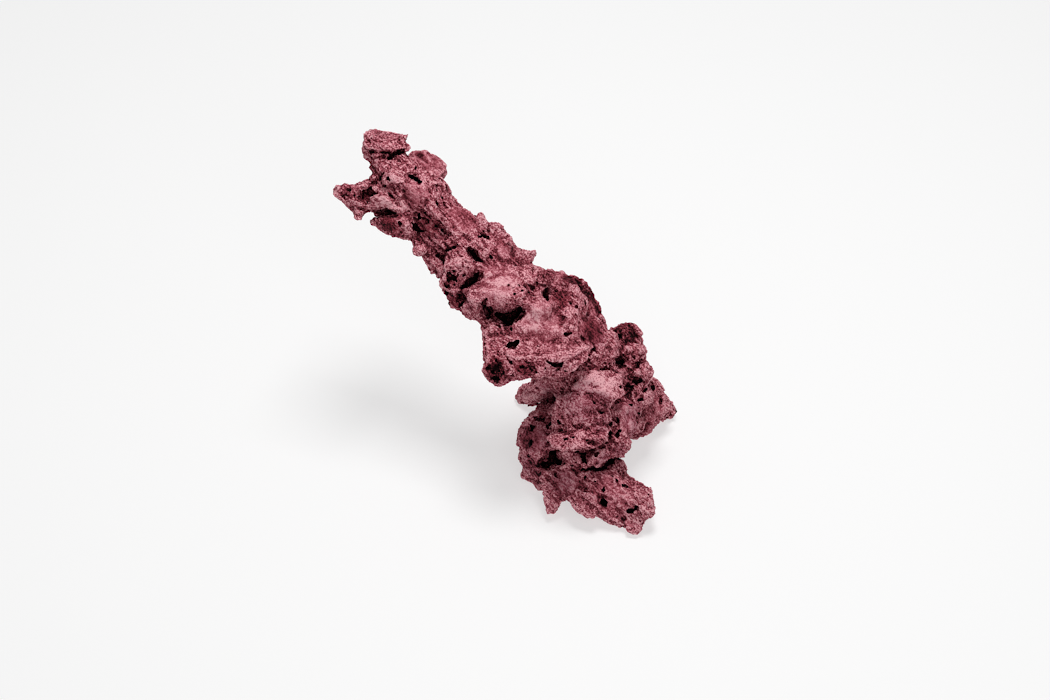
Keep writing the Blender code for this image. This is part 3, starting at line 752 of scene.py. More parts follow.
# Holes that the photograph shows, each carved where its pixel meets the rock:
# x, y, half width, half height (pixels), turn anticlockwise (degrees), depth (mm)
holes = {
    "block seam": [(398, 151.5, 6, 1.6, 15, 5), (386, 152.5, 7, 1.3, -3, 4), (393, 156, 3, 2.5, 40, 4),
        (372, 152, 2.5, 2, 0, 4), (389, 158.5, 3, 1.2, 0, 4)],
    "head slit": [(414.5, 178.5, 8.5, 2.6, -30, 8)],
    "boss pits": [(383, 174, 2.5, 1.2, 20, 3), (382, 178.5, 2, 3.2, -15, 4),
        (385, 186, 1.5, 2.5, -30, 3), (415.5, 168, 1.3, 2.2, 0, 3), (390, 194, 1.4, 5, 40, 3),
        (403, 191, 1.2, 2, 10, 2)],
    "horn": [(349, 190, 2, 1.2, -5, 2.5), (341, 193, 1.3, 1, 0, 2), (363, 192.5, 2.2, 2, -10, 3),
        (371, 188, 1.6, 1.6, 0, 3), (355, 196, 1.2, 1.2, 0, 2), (346, 195, 1, 1, 0, 2)],
    "mouth": [(381, 214.5, 12, 3.2, 8, 12), (394, 213, 3.5, 1.8, -35, 7), (389, 210.5, 4, 1.6, -10, 8),
        (372, 216, 3, 3, 0, 8)],
    "chin": [(400, 224, 2, 3, 10, 4), (414, 226, 2.2, 4, -25, 4), (419, 216, 2, 4, 0, 4),
        (384, 224, 1.5, 1, 0, 2)],
    "scar": [(437, 190, 1, 2.5, 35, 2), (442, 197, 1, 3.5, 35, 2), (437, 203, 1.1, 3.5, 45, 2.5),
        (445, 204, 0.9, 3, 45, 2), (447, 187, 1.4, 2.5, 30, 3)],
    "neck recess": [(428, 222, 2.5, 2.5, 0, 3), (436, 226, 2, 2, 0, 3), (442, 230, 2, 2, 0, 3),
        (425, 213, 3, 1.5, -30, 3), (423, 231, 2, 2, 0, 3), (430, 216, 2, 1.5, 0, 2.5)],
    "arm": [(483, 236.5, 6, 1.4, -5, 4), (449, 250, 5, 2, 15, 5), (444, 255, 4, 1.5, 25, 4),
        (437, 256, 2.5, 2, 0, 3), (453, 248, 3, 1.5, 0, 4), (491, 257, 1.5, 2.5, 0, 3)],
    "arm hole": [(480, 259, 1.8, 2.2, 10, 4)],
    "barnacle": [(464, 275, 1.2, 1, 0, 3), (461, 271, 1, 0.8, 0, 2.5), (458, 275, 1, 1, 0, 3),
        (449, 285.5, 1.5, 1.5, 0, 4), (454, 285, 1.6, 1.3, 0, 4), (457, 281.5, 1.1, 1.5, 20, 4),
        (446, 287, 1, 2, 0, 4), (451, 268, 1, 1, 0, 2), (468, 268, 1, 0.8, 0, 2),
        (454, 271, 1, 0.8, 0, 2.5)],
    "low left": [(459, 296, 2, 4, 10, 7), (462, 305, 3, 2.5, 0, 6), (447, 292, 2, 4, 0, 5)],
    "shelf cavern": [(505, 328, 2, 1.5, 0, 5), (511, 329, 1.5, 1.5, 0, 4), (499, 326, 1.5, 1.5, 0, 4),
        (486, 299, 2, 1.5, 20, 4), (524, 312, 2, 1.4, 30, 5)],
    "upper shelf": [(519, 285, 1.6, 1.3, 0, 3), (513, 288, 2, 1, 0, 2.5), (522, 291, 1.8, 1.4, 0, 3),
        (515, 294, 1.5, 1, 0, 2.5), (525, 286, 1.2, 1.2, 0, 2.5), (509, 285, 1.2, 0.8, 0, 2),
        (528, 293, 1.2, 1, 0, 2.5), (533, 288, 1, 1, 0, 2)],
    "rough hollow": [(549, 294, 2.5, 1.2, -20, 2), (556, 291, 2, 1.2, -10, 2),
        (562, 298, 2, 1.2, -30, 2.5), (570, 303, 1.6, 1.4, -40, 2.5), (577, 306, 1, 1.6, 0, 2.5),
        (585, 303, 1.2, 1, -30, 2), (537, 284, 1, 2, 0, 2), (568, 288, 1, 1.4, 0, 2),
        (566, 311, 1.4, 1.4, 0, 2.5)],
    "lower shelf": [(568.5, 333.5, 4.5, 1.4, 3, 4), (513, 345, 4, 2.4, 15, 6),
        (518, 341, 2.5, 1.2, 10, 4), (556, 364, 6, 1.8, 0, 6), (522, 367, 3, 2, 0, 3),
        (592.5, 349.5, 1.8, 1.4, 10, 4), (545, 369, 1.5, 1, 0, 3), (565, 371, 1.3, 1, 0, 2.5),
        (575, 364, 1.3, 1.2, 0, 2.5)],
    "shelf corner": [(498, 366, 2, 1.5, -20, 3), (492, 372, 1.5, 2, 0, 3), (503, 373, 1.5, 1.5, 0, 3),
        (488, 368, 1.6, 1.5, 0, 3), (497, 379, 2.5, 1.5, 0, 3), (511, 362, 2, 2.5, 0, 5),
        (484, 344, 1.3, 2, 0, 2), (494, 378, 1.2, 1.2, 0, 3), (505, 378, 1.5, 1.2, 0, 3),
        (499, 371, 1.2, 1.2, 0, 2.5), (508, 370, 1.4, 1.4, 0, 3), (487, 377, 1.2, 1, 0, 2.5),
        (512, 375, 1.2, 1, 0, 3), (496, 361, 1.2, 1, 0, 2.5), (518, 371, 1.4, 1.2, 0, 3),
        (524, 374, 1.2, 1, 0, 2.5), (530, 369, 1.4, 1.1, 0, 3), (536, 373, 1.2, 1, 0, 2.5)],
    "right flank": [(616, 361, 3, 3, -20, 6), (621, 362, 4, 2.5, 10, 6), (638, 363, 1.2, 3, 0, 4),
        (619, 337, 4, 3, 30, 4), (640, 380.5, 4, 2, 25, 6), (628, 386, 6, 2, -15, 5),
        (621, 387, 3, 2, -10, 5), (645, 390, 4, 1.5, 30, 4), (640, 400, 3.5, 2, 5, 5),
        (631, 405, 3, 1.5, -20, 4), (652, 388, 3, 3, 0, 4), (616, 400, 2.5, 3, -35, 5),
        (661, 401, 2, 4, -10, 3)],
    "nose": [(600, 412, 5, 1.4, -18, 5), (594, 403, 1.5, 1.3, 0, 3), (611, 424, 2, 3, -10, 4),
        (610, 434, 2, 5, 0, 5), (618, 433, 2, 5, -35, 5), (618, 420, 1.5, 3, 0, 3),
        (565.5, 439.5, 2.4, 1.5, 10, 4), (588, 443, 2.4, 0.8, -8, 2.5), (559, 422, 1.5, 3.5, 10, 6),
        (550, 424, 2.2, 1.8, 0, 4), (548, 428, 1.5, 3, 10, 3)],
    "cheek": [(540, 419, 7, 2, -5, 6), (531.5, 428, 1.8, 3.5, 10, 5), (531, 443, 1.8, 3.5, 0, 5),
        (529, 455.5, 1.5, 1.5, 0, 4)],
    "caves": [(553, 454, 3.5, 5, 20, 9), (560, 463, 4, 2, 10, 7), (544, 464, 4, 2.5, 0, 8),
        (553, 462, 3, 3, 0, 8), (576, 450.5, 6, 1.4, 8, 6), (583, 457, 2.5, 5.5, 0, 8),
        (597, 454, 2.2, 2.6, -30, 5), (609, 462, 6, 2.6, 40, 9), (602, 468, 2.5, 2, 30, 6),
        (586, 469.5, 5, 1.6, 0, 6), (596, 467.5, 3, 1.2, 10, 4), (571, 466, 2.5, 1.2, -20, 4)],
    "front foot": [(604, 502, 4.2, 3.2, 0, 7), (630, 510, 3.5, 2.4, 0, 6), (636, 508, 2.4, 1.8, 0, 5),
        (612, 476, 2.2, 1.6, -35, 4), (617, 480.5, 2.8, 1.2, -45, 4), (626, 486.5, 4.5, 1.2, -25, 3),
        (604, 489, 1.2, 2.2, 0, 3), (595, 482, 1.6, 1, 20, 2), (585, 478, 1.2, 2, 0, 2.5),
        (565, 503, 3, 3.5, 0, 6), (610, 526, 3, 2, 0, 5), (576, 505, 1.4, 1.4, 0, 3),
        (583, 500, 1.2, 1.2, 0, 2.5)],
    "left foot": [(539.5, 402.5, 2.5, 3, 0, 7), (525, 405, 4, 2, -5, 4)],
}

# Hollows with a clear outline: depth (mm), then the corners' pixels
caverns = {
    "head slit": (9, [(407.1, 173.6), (412.2, 174.6), (416.8, 177.5), (422.8, 181.6), (419.1, 184.6),
        (414.5, 181.2), (410, 178.8)]),
    "mouth": (9, [(369.2, 214.7), (374.4, 211.8), (380.1, 211.3), (384.7, 211.8), (389.3, 209),
        (395, 213), (390.4, 215.6), (384.7, 215.3), (380.1, 216.2), (375.5, 219.6), (373.8, 221),
        (370.9, 217.6)]),
    "chin": (5, [(411.7, 222.2), (416.8, 223.9), (420.3, 229.1), (419.7, 234.8), (415.7, 231),
        (412.8, 227.2)]),
    "block seam": (6, [(400.2, 149.8), (404.8, 148.7), (404.2, 153.3), (397, 155.5), (390.1, 158.2),
        (390.3, 154.8), (393.9, 152.1)]),
    "horn hollow": (3.5, [(362, 194.5), (366, 192), (370.5, 195), (371, 200), (369, 204), (366, 206),
        (363, 202.5), (361.5, 198.5)]),
    "arm hole": (10, [(467.5, 248.5), (473, 249.5), (476.5, 253.5), (479, 258), (480.5, 262),
        (475, 262), (472, 257.5), (468.5, 253)]),
    "barnacle hollow": (3.5, [(446.5, 272.5), (449.5, 271), (453, 274.5), (457, 277.5), (455.5, 281),
        (451, 279), (449, 283), (446.5, 280)]),
    "barnacle crescent": (10, [(478.5, 270.5), (480, 276), (476.5, 282.5), (469, 288), (460.5, 289.5),
        (459.5, 286.5), (463, 283.5), (466.5, 279), (471, 277.5), (474.5, 273)]),
    "shelf cavern": (16, [(496, 311.5), (507, 312.5), (514, 310.5), (518, 306), (522, 305),
        (522.5, 312), (519, 317), (515, 320), (512, 326), (506, 327), (502, 322), (497, 319),
        (494, 314.5)]),
    "cavern side": (9, [(480, 303.5), (484, 300.5), (487.5, 303), (487.5, 309), (491, 312), (492, 318),
        (487, 319), (484, 313.5), (482, 308)]),
    "shelf hole": (5, [(505.8, 347.3), (508.8, 342.4), (519.7, 340), (517.3, 346.1), (512.4, 349.7)]),
    "front slot": (8, [(546.4, 360.8), (556.1, 363.2), (564.5, 360.8), (562.1, 367), (554.8, 367.7),
        (549.4, 364.6)]),
    "flank hole": (7, [(612.2, 357), (624.4, 360.1), (622.9, 366.3), (615.3, 363.2)]),
    "left cave": (12, [(549, 450), (555.5, 449.5), (557, 458), (563, 461), (561, 465), (552, 464),
        (548, 469), (540, 466.5), (541, 461.5), (548, 461.5)]),
    "ledge crack": (9, [(566.3, 451.2), (575.4, 448.9), (590.8, 446.7), (587.7, 450.9), (570.8, 454)]),
    "middle cave": (10, [(580, 452), (586, 452.5), (587.7, 464.3), (582.5, 463), (579.5, 457)]),
    "right cave": (11, [(603, 467.3), (604.5, 461.2), (612.2, 458.1), (616, 459.7), (612.2, 465),
        (601.5, 472.2), (583.1, 471), (587.7, 467)]),
    "toe hole": (8, [(599, 502.5), (604.5, 499), (608.5, 502.5), (606.3, 506.5), (601, 505.5)]),
    "second toe hole": (5, [(626, 511), (630.6, 507.8), (636, 508.8), (633.2, 512.8), (629.4, 513.6)]),
}

holeForm = {
    "voxel": 0.0005,
    "ragged": [("CREASES", "BLENDER_ORIGINAL", 0.0045, 0.0026, 0.25, None),
               ("CREASES", "BLENDER_ORIGINAL", 0.0018, 0.0018, 0.30, None)],
    "aboveSkin": 2.5,     # mm that a cutter stands above the skin
}

# Pits and crumbs scattered over the whole rock: how many to a square metre, radii (mm), how strongly
# small ones win, the share left on the side that the camera sees, and their least and most in each
# direction as shares of the radius, the third one stretched
ballShares = ((0.65, 0.65, 0.8), (1.45, 1.1, 1.3))
pitForm = {
    "perArea": 12000, "smallest": 0.6, "largest": 2.6, "favourSmall": 3.5, "seen": 0.15,
    "uneven": ballShares, "stretch": 1.3, "seed": 4,
}
crumbForm = {
    "perArea": 9000, "smallest": 0.5, "largest": 1.5, "favourSmall": 2.6, "seen": 0.35,
    "uneven": ballShares, "stretch": 0.9, "seed": 9,
}


def scatterBalls(rock, name, form):
    # uneven little balls on the skin of the rock, fewer where it is smooth
    tree = bpy.data.node_groups.new(name, "GeometryNodeTree")
    tree.interface.new_socket("Geometry", in_out="INPUT", socket_type="NodeSocketGeometry")
    tree.interface.new_socket("Geometry", in_out="OUTPUT", socket_type="NodeSocketGeometry")

    source = addNode(tree, "NodeGroupInput")
    porous = addNode(tree, "GeometryNodeInputNamedAttribute", {"Name": "porous"}, data_type="FLOAT")
    often = addNode(tree, "ShaderNodeMath", {0: porous.outputs["Attribute"], 1: form["perArea"]},
                    operation="MULTIPLY")
    points = addNode(tree, "GeometryNodeDistributePointsOnFaces",
                     {"Mesh": source.outputs[0], "Density": often.outputs[0], "Seed": form["seed"]},
                     distribute_method="RANDOM")
    chance = addNode(tree, "FunctionNodeRandomValue", {"Seed": form["seed"] + 1}, data_type="FLOAT")
    favour = addNode(tree, "ShaderNodeMath", {0: chance.outputs["Value"], 1: form["favourSmall"]},
                     operation="POWER")
    size = addNode(tree, "ShaderNodeMapRange", {"Value": favour.outputs[0],
                   "To Min": form["smallest"] / 1000, "To Max": form["largest"] / 1000})
    least, most = [(wide, long, tall * form["stretch"]) for wide, long, tall in form["uneven"]]
    uneven = addNode(tree, "FunctionNodeRandomValue",
                     {"Min": least, "Max": most, "Seed": form["seed"] + 2}, data_type="FLOAT_VECTOR")
    scaled = addNode(tree, "ShaderNodeVectorMath", {0: uneven.outputs["Value"], "Scale": size.outputs[0]},
                     operation="SCALE")
    ball = addNode(tree, "GeometryNodeMeshIcoSphere", {"Radius": 1, "Subdivisions": 2})
    placed = addNode(tree, "GeometryNodeInstanceOnPoints",
                     {"Points": points.outputs["Points"], "Rotation": points.outputs["Rotation"],
                      "Instance": ball.outputs["Mesh"], "Scale": scaled.outputs[0]})
    real = addNode(tree, "GeometryNodeRealizeInstances", {0: placed.outputs[0]})
    addNode(tree, "NodeGroupOutput", {0: real.outputs[0]})
    balls = copyOf(rock, name)
    modifier = balls.modifiers.new("scatter", "NODES")
    modifier.node_group = tree
    applyModifiers(balls)
    report(f"{name}, {len(balls.data.polygons)} faces")
    return balls


def holeCutters(rock):
    tree = rockTree(rock)
    cutters = []
    missed = 0
    for spots in holes.values():
        for x, y, wide, tall, turn, depth in spots:
            ball = sightBall(tree, (x, y, wide, tall, turn), holeForm["aboveSkin"], depth)
            if ball:
                cutters.append(ball)
            else:
                missed += 1
    for name, (depth, outline) in caverns.items():
        cutters.append(sightPrism(name, outlineOnRock(tree, outline), holeForm["aboveSkin"], depth))
    report(f"{len(cutters)} holes placed, {missed} beside the rock")
    return joinAll("holeCutters", cutters)


rock = addPlates(rock)
report(f"plates added, {len(rock.data.polygons)} faces")
roughenSkin(rock, plateForm["grain"])
markPorous(rock, crumbForm["seen"])
crumbs = scatterBalls(rock, "crumbs", crumbForm)
rock = addRaised(rock, crumbs)
evenSkin(rock, rockForm["lastVoxel"])
report(f"plates, lumps and crumbs added, {len(rock.data.polygons)} faces")
markPorous(rock, pitForm["seen"])
pits = scatterBalls(rock, "pits", pitForm)
outerTree = rockTree(rock)
cutter = joinAll("holeCutters", [holeCutters(rock), pits])
evenSkin(cutter, holeForm["voxel"])
roughenSkin(cutter, holeForm["ragged"])
evenSkin(cutter, holeForm["voxel"])
report(f"cutters ready, {len(cutter.data.polygons)} faces")
carve(rock, cutter)
keepMainBody(rock)
report(f"holes carved, {len(rock.data.polygons)} faces")


# Fine surface

markPorous(rock)
roughenSkin(rock, rockForm["streaks"], guide)
roughenSkin(rock, rockForm["fine"])
bpy.data.objects.remove(guide)
rock.data.calc_loop_triangles()
thin = rock.modifiers.new("thin", "DECIMATE")
thin.ratio = rockForm["triangles"] / len(rock.data.loop_triangles)
applyModifiers(rock)
floorLevel = cadBox[0].z
places = vertexPlaces(rock)
places[:, 2] = np.maximum(places[:, 2], floorLevel)
rock.data.vertices.foreach_set("co", places.ravel())
rock.data.update()
rock.data.calc_loop_triangles()
selectOnly(rock)
bpy.ops.object.shade_smooth_by_angle(angle=rockForm["sharpAngle"])
report(f"rock finished, {len(rock.data.loop_triangles)} triangles")


# What the stone's colour follows: crests, swells and hollows, painted as highlight and shade, and listed
# patches

skinStudy = {
    "fineSteps": 3,          # smoothing steps to the skin that crests stand over
    "broadSteps": 24,        # and to the one that swells stand over
    "crestSize": 0.00022,    # metres
    "swellSize": 0.0009,
    "hollowReach": 0.014,
    "hollowRays": 32,
    "rayLift": 0.00025,      # metres that a ray starts above the skin
    "grazing": 0.12,         # rays flatter than this are left out
    "farShare": 0.6,         # of a ray's shade that is lost at its full reach
}


def neighbourMean(values, ends, degree):
    total = np.zeros_like(values)
    for column in range(values.shape[1]):
        total[:, column] = (np.bincount(ends[:, 0], values[ends[:, 1], column], len(values))
                            + np.bincount(ends[:, 1], values[ends[:, 0], column], len(values)))
    return total / degree[:, None]


def keepAttribute(piece, name, values):
    attribute = piece.data.attributes.new(name, "FLOAT", "POINT")
    attribute.data.foreach_set("value", np.ascontiguousarray(values, np.float32))


def hiddenSky(tree, places, normals, reach, rays):
    # share of the directions above a point that the rock itself hides within reach
    directions = []
    for index in range(rays):
        height = 1 - (2 * index + 1) / rays
        turn = index * math.pi * (3 - math.sqrt(5))
        flat = math.sqrt(1 - height * height)
        directions.append(Vector((flat * math.cos(turn), flat * math.sin(turn), height)))
    facing = normals @ np.array(directions).T
    starts = places + normals * skinStudy["rayLift"]
    hidden = np.zeros(len(places))
    cast = tree.ray_cast
    for index in range(len(places)):
        start = Vector(starts[index])
        blocked = 0.0
        possible = 0.0
        for which in np.nonzero(facing[index] > skinStudy["grazing"])[0].tolist():
            share = facing[index, which]
            possible += share
            distance = cast(start, directions[which], reach)[3]
            if distance is not None:
                blocked += share * (1 - skinStudy["farShare"] * distance / reach)
        hidden[index] = blocked / max(possible, 0.001)
    return hidden


def studySkin(piece):
    mesh = piece.data
    places = vertexPlaces(piece).astype(float)
    normals = vertexValues(piece, "normal").astype(float)
    ends = np.empty(len(mesh.edges) * 2, np.int32)
    mesh.edges.foreach_get("vertices", ends)
    ends = ends.reshape(-1, 2)
    degree = np.maximum(np.bincount(ends.ravel(), minlength=len(places)), 1).astype(float)
    smooth = places.copy()
    for step in range(skinStudy["broadSteps"]):
        if step == skinStudy["fineSteps"]:
            fine = smooth
        smooth = neighbourMean(smooth, ends, degree)
    crest = np.sum((places - fine) * normals, axis=1) / skinStudy["crestSize"]
    swell = np.sum((places - smooth) * normals, axis=1) / skinStudy["swellSize"]
    tree = rockTree(piece)
    hollow = hiddenSky(tree, places, normals, skinStudy["hollowReach"], skinStudy["hollowRays"])
    hollow = 0.5 * hollow + 0.5 * neighbourMean(hollow[:, None], ends, degree)[:, 0]
    # crest lightens the colour on crests and darkens it in creases: painted highlight and painted shade
    keepAttribute(piece, "crest", np.clip(crest, -1, 1))
    # swell lightens bulges and darkens broad dips: painted highlight and painted shade
    keepAttribute(piece, "swell", np.clip(swell, -1, 1))
    # hollow: share of sky the rock hides over a place; it darkens the colour as painted shade
    keepAttribute(piece, "hollow", hollow)
    # sunk: depth under the uncarved skin; it darkens the colour in holes as painted shade
    keepAttribute(piece, "sunk", [outerTree.find_nearest(Vector(place))[3] or 0.0 for place in places])
    # upward: faces that look up are painted lighter, as light from above falls on them
    keepAttribute(piece, "upward", np.clip(normals[:, 2], -1, 1))
    # tone: the stone's own lighter and darker patches together with painted light and shade
    tone = np.zeros(len(places))
    for x, y, radius, change in toneAndPaintedLightPatches:
        tone += change * nearness(tree, places, [(x, y, radius)])
    keepAttribute(piece, "tone", tone)
    for name, patches in (("mauveness", mauvePatches), ("redness", redPatches), ("calm", calmPatches)):
        keepAttribute(piece, name, nearness(tree, places, patches))


# Patches that are lighter or darker, partly the stone's own tone and partly painted light and shade: x, y,
# radius (pixels), change
toneAndPaintedLightPatches = [
    (385, 141, 14, -0.13), (428, 162, 14, -0.04), (395, 178, 8, 0.16), (415, 195, 12, -0.08),
    (385, 203, 9, 0.31), (400, 206, 8, 0.30), (386, 190, 8, 0.16), (348, 191, 8, -0.28),
    (388, 225, 10, -0.50), (398, 237, 8, -0.20), (432, 224, 14, -0.08), (464, 217, 11, -0.22),
    (505, 250, 9, -0.08), (445, 248, 12, -0.12), (462, 266, 9, 0.17), (451, 280, 8, -0.22),
    (490, 281, 12, 0.14), (508, 279, 11, 0.14), (501, 300, 9, 0.11), (535, 318, 10, 0.28),
    (553, 318, 10, 0.28), (560, 296, 12, -0.22), (553, 275, 11, -0.36), (572, 280, 11, -0.43),
    (588, 293, 11, -0.45), (598, 308, 8, -0.42), (592, 330, 14, -0.37), (515, 341, 9, 0.13),
    (540, 341, 9, 0.12), (565, 342, 9, 0.10), (530, 350, 10, 0.03), (555, 351, 10, 0.03),
    (497, 371, 12, -0.40), (528, 369, 10, -0.32), (573, 367, 9, 0.12), (630, 360, 13, -0.12),
    (626, 331, 13, -0.50), (634, 388, 12, -0.16), (598, 381, 13, 0.29), (613, 386, 9, 0.18),
    (581, 386, 8, 0.28), (568, 408, 8, 0.08), (595, 408, 12, -0.17), (530, 398, 10, 0.16),
    (551, 391, 11, 0.35), (530, 438, 12, -0.35), (535, 468, 11, -0.27), (630, 418, 13, 0.14),
    (655, 406, 13, -0.13), (565, 440, 11, -0.12), (592, 437, 10, -0.14), (566, 457, 7, 0.24),
    (598, 456, 8, 0.22), (600, 509, 9, -0.06), (566, 483, 10, 0.08), (634, 521, 8, 0.28),
    (649, 508, 7, 0.18), (507, 328, 7, -0.12), (458, 298, 9, -0.12), (612, 436, 8, -0.12),
    (545, 458, 8, -0.08), (584, 470, 8, -0.06), (388, 157, 7, -0.12), (554, 415, 5, -0.08),
    (549, 498, 6, 0.10),
]

# Patches of another hue, and patches with less grit: x, y, radius (pixels)
mauvePatches = [
    (580, 402, 22), (556, 394, 14), (545, 388, 8), (600, 402, 12), (632, 418, 18), (535, 436, 18),
    (530, 465, 14), (562, 482, 14), (605, 460, 8), (595, 335, 12), (620, 450, 8), (600, 425, 10),
]
redPatches = [
    (453, 279, 8), (366, 198, 8), (497, 368, 12), (522, 368, 8), (428, 225, 12), (560, 300, 10),
    (458, 300, 8), (390, 226, 10), (592, 330, 10),
]
calmPatches = [
    (657, 405, 20), (648, 425, 12), (592, 330, 18), (428, 162, 20), (415, 195, 16), (462, 218, 16),
    (497, 281, 22), (542, 320, 22), (612, 490, 24), (530, 440, 16), (628, 418, 18), (507, 250, 12),
    (570, 278, 14), (595, 305, 12), (566, 484, 16),
]

studySkin(rock)
report("skin studied")


# Stone

stoneLook = {
    "black": (0.009, 0.0011, 0.0017, 1),
    "dark": (0.080, 0.0095, 0.0155, 1),
    "middle": (0.290, 0.053, 0.074, 1),
    "light": (0.505, 0.148, 0.186, 1),
    "pale": (0.670, 0.262, 0.308, 1),
    "palest": (0.830, 0.430, 0.470, 1),
    "mauve": (0.205, 0.056, 0.090, 1),
    "red": (0.240, 0.020, 0.034, 1),
    "stops": ((0.22, "dark"), (0.52, "middle"), (0.74, "light"), (0.90, "pale")),
    "grain": 900,         # grains to a metre
    "speckle": (950, 2, 0.7),         # noises: scale, detail, roughness
    "finePores": (1300, 1, 0.5),
    "streak": (900, 2, 0.6),
    "mottle": (260, 3, 0.6),
    "broad": (60, 3, 0.55),
    "streakLonger": 1.3,  # than the streaks in the mesh
    "grainEdges": (0, 1),             # values of the noises that give the least and the most
    "gritEdges": (0.35, 0.65),
    "poreEdges": (0.34, 0.46),
    "softEdges": (0.3, 0.7),
    "base": 0.63,         # how light the stone is, and what each of these adds
    # painted shade in creases and painted highlight on crests
    "crestPaintedLightAndShade": (-0.24, 0.16),
    # painted highlight on bulges and painted shade in broad dips
    "swellPaintedLightAndShade": 0.045,
    # painted shade in recesses, by how much of the sky the rock hides
    "hollowPaintedShade": -0.53,
    # painted shade in carved holes, darker the deeper they go
    "sunkPaintedShade": -0.40,
    "sunkDepth": (0.0015, 0.0055),    # metres under the uncarved skin
    # painted light from above on faces that look up
    "paintedTopLight": 0.06,
    "speckleTone": 0.30,
    "poreTone": (-0.22, 0.02),
    "streakTone": 0.14,
    "mottleTone": 0.02,
    "broadTone": 0.04,
    "grainTone": 0.10,
    "grit": (1.15, 0.60),             # share of speckle, pores and streaks: elsewhere, on calm patches
    "mauveShare": 0.35,
    "mauveLevels": (0.3, 0.8),        # how light the stone is where the hue starts and is full
    "redShare": 0.55,
    "redLevels": (0.15, 0.6),
    "roughness": (0.86, 0.98),
    "specular": 0.1,
    "grainBump": 0.00040,
    "poreBump": 0.00060,
    "streakInBump": 0.7,              # share of the streaks beside the speckle
}


def stoneMaterial():
    material = bpy.data.materials.new("reefStone")
    material.use_nodes = True
    tree = material.node_tree
    look = stoneLook

    def add(kind, inputs=None, **settings):
        return addNode(tree, kind, inputs, **settings)

    def skin(name):
        return add("ShaderNodeAttribute", attribute_name=name).outputs["Fac"]

    def math2(operation, first, second, clamp=False):
        return add("ShaderNodeMath", {0: first, 1: second}, operation=operation, use_clamp=clamp).outputs[0]

    def times(first, second):
        return math2("MULTIPLY", first, second)

    def total(terms):
        added = terms[0]
        for term in terms[1:]:
            added = math2("ADD", added, term)
        return added

    def span(value, edges, low=0.0, high=1.0):
        # from low to high, as the value goes from one edge to the other
        return add("ShaderNodeMapRange", {"Value": value, "From Min": edges[0], "From Max": edges[1],
                                          "To Min": low, "To Max": high}).outputs[0]

    def spread(value, edges, tone):
        return span(value, look[edges], -look[tone], look[tone])

    def noise(name, vector):
        scale, detail, roughness = look[name]
        return add("ShaderNodeTexNoise", {"Vector": vector, "Scale": scale, "Detail": detail,
                                          "Roughness": roughness}).outputs["Fac"]

    place = add("ShaderNodeTexCoord").outputs["Object"]
    grains = add("ShaderNodeTexVoronoi", {"Vector": place, "Scale": look["grain"]}, feature="F1")
    grainTone = add("ShaderNodeSeparateColor", {0: grains.outputs["Color"]}).outputs[0]
    along = add("ShaderNodeMapping", vector_type="TEXTURE", inputs={
        "Vector": place, "Rotation": streakTurn,
        "Scale": (rockForm["streakStretch"] * look["streakLonger"], 1, 1)}).outputs[0]
    speckle, finePores, mottle, broad = [noise(name, place)
                                         for name in ("speckle", "finePores", "mottle", "broad")]
    streak = noise("streak", along)

    # how light the stone is, with painted shade and highlight from crests, swells, hollows, holes, upward
    # faces and some tone patches
    grit = total([
        spread(speckle, "gritEdges", "speckleTone"),
        span(finePores, look["poreEdges"], *look["poreTone"]),
        spread(streak, "gritEdges", "streakTone"),
    ])
    level = total([
        # painted shade in creases, painted highlight on crests
        span(skin("crest"), (-1, 1), *look["crestPaintedLightAndShade"]),
        # painted highlight on bulges, painted shade in dips
        times(skin("swell"), look["swellPaintedLightAndShade"]),
        # painted shade in recesses
        times(skin("hollow"), look["hollowPaintedShade"]),
        # painted shade in holes
        span(skin("sunk"), look["sunkDepth"], 0.0, look["sunkPaintedShade"]),
        # painted top light on faces that look up
        times(skin("upward"), look["paintedTopLight"]),
        times(grit, span(skin("calm"), (0, 1), *look["grit"])),
        spread(mottle, "softEdges", "mottleTone"),
        spread(broad, "softEdges", "broadTone"),
        spread(grainTone, "grainEdges", "grainTone"),
        # own tone, partly painted light and shade
        skin("tone"),
    ])
    level = math2("ADD", level, look["base"], clamp=True)
    ramp = add("ShaderNodeValToRGB", {0: level})
    stops = ramp.color_ramp.elements
    stops[0].position = 0.0
    stops[0].color = look["black"]
    stops[1].position = 1.0
    stops[1].color = look["palest"]
    for position, name in look["stops"]:
        stops.new(position).color = look[name]
    colour = ramp.outputs[0]
    for hue in ("mauve", "red"):
        amount = times(skin(f"{hue}ness"), look[f"{hue}Share"])
        amount = times(amount, span(level, look[f"{hue}Levels"]))
        mix = add("ShaderNodeMix", {0: amount, 6: colour, 7: look[hue]}, data_type="RGBA")
        colour = mix.outputs[2]

    # grains stand up and pores sink in
    raised = math2("SUBTRACT", 1.0, grains.outputs["Distance"])
    grainBump = add("ShaderNodeBump", {"Distance": look["grainBump"], "Height": raised})
    sunken = math2("ADD", speckle, times(streak, look["streakInBump"]))
    poreBump = add("ShaderNodeBump", {"Distance": look["poreBump"], "Height": sunken,
                                      "Normal": grainBump.outputs[0]})
    shader = tree.nodes["Principled BSDF"]
    for socket, value in (("Base Color", colour), ("Normal", poreBump.outputs[0]),
                          ("Roughness", span(mottle, look["softEdges"], *look["roughness"]))):
        tree.links.new(value, shader.inputs[socket])
    shader.inputs["Specular IOR Level"].default_value = look["specular"]
    return material


rock.data.materials.clear()
rock.data.materials.append(stoneMaterial())
rock.data.polygons.foreach_set("material_index", [0] * len(rock.data.polygons))
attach(rock, "root")
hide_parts("reef_rock")


# Floor, lights

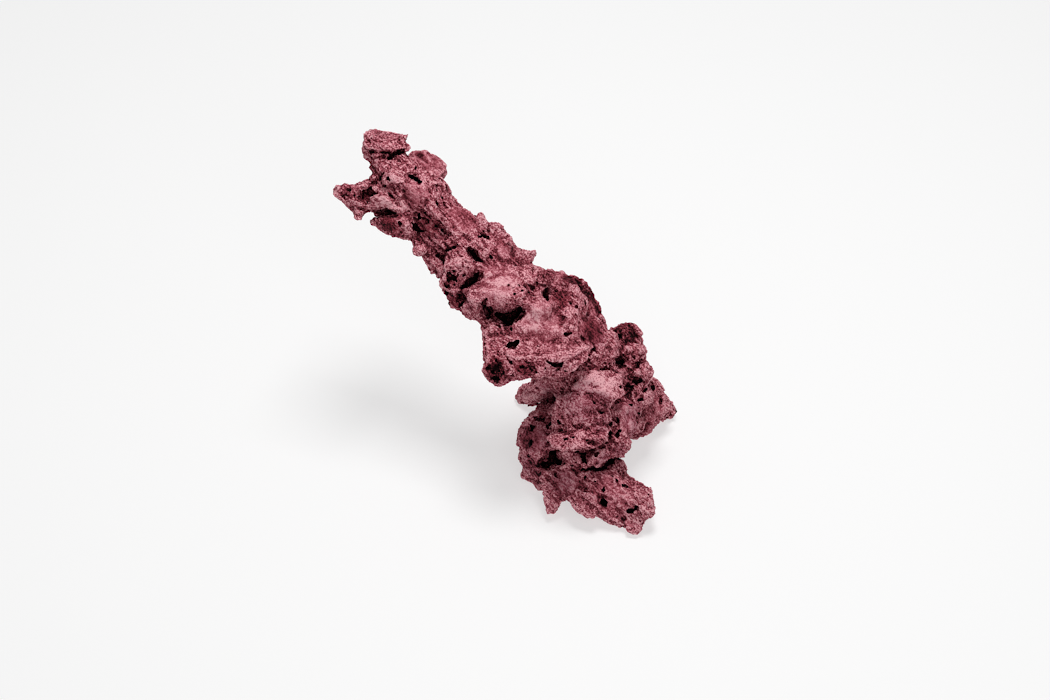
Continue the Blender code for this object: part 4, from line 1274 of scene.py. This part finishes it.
studio = {
    "floorSize": 6.0,
    "floor": {
        "Base Color": (0.42, 0.42, 0.42, 1),
        "Roughness": 0.8,
        "Emission Color": (1, 1, 1, 1),
        "Emission Strength": 0.56,
    },
    "worldStrength": 0.25,
    "softboxes": [        # place, size, watts
        ("overheadSoftbox", (0.1, 0.2, 1.3), 0.45, 10.5),
        ("frontFill", (0.3, -1.2, 1.1), 0.9, 5),
    ],
    "aim": (0, 0, 0.08),
    "sharpening": 0.065,
}


def addFloor():
    bpy.ops.object.select_all(action="DESELECT")
    bpy.ops.mesh.primitive_plane_add(size=studio["floorSize"], location=(0, 0, cadBox[0].z))
    floor = bpy.context.object
    floor.name = "studioFloor"
    bpy.ops.object.transform_apply(location=True, rotation=True, scale=True)
    material = bpy.data.materials.new("paleFloor")
    material.use_nodes = True
    shader = material.node_tree.nodes["Principled BSDF"]
    for socket, value in studio["floor"].items():
        shader.inputs[socket].default_value = value
    floor.data.materials.append(material)


def addSoftbox(name, place, size, watts):
    bpy.ops.object.light_add(type="AREA", location=place)
    light = bpy.context.object
    light.name = name
    light.data.size = size
    light.data.energy = watts
    aim = Vector(studio["aim"]) - Vector(place)
    light.rotation_euler = aim.to_track_quat("-Z", "Y").to_euler()


def sharpenPicture(amount):
    scene = bpy.context.scene
    scene.use_nodes = True
    tree = scene.node_tree
    tree.nodes.clear()
    layers = addNode(tree, "CompositorNodeRLayers")
    crisp = addNode(tree, "CompositorNodeFilter", {"Image": layers.outputs["Image"], "Fac": amount},
                    filter_type="SHARPEN_DIAMOND")
    addNode(tree, "CompositorNodeComposite", {"Image": crisp.outputs[0]})


def addWorld():
    world = bpy.data.worlds.new("paleStudio")
    bpy.context.scene.world = world
    world.use_nodes = True
    background = world.node_tree.nodes["Background"]
    background.inputs["Color"].default_value = (1, 1, 1, 1)
    background.inputs["Strength"].default_value = studio["worldStrength"]


addFloor()
addWorld()
for softbox in studio["softboxes"]:
    addSoftbox(*softbox)
bpy.context.scene.view_settings.view_transform = "Standard"
sharpenPicture(studio["sharpening"])
report("studio lit")
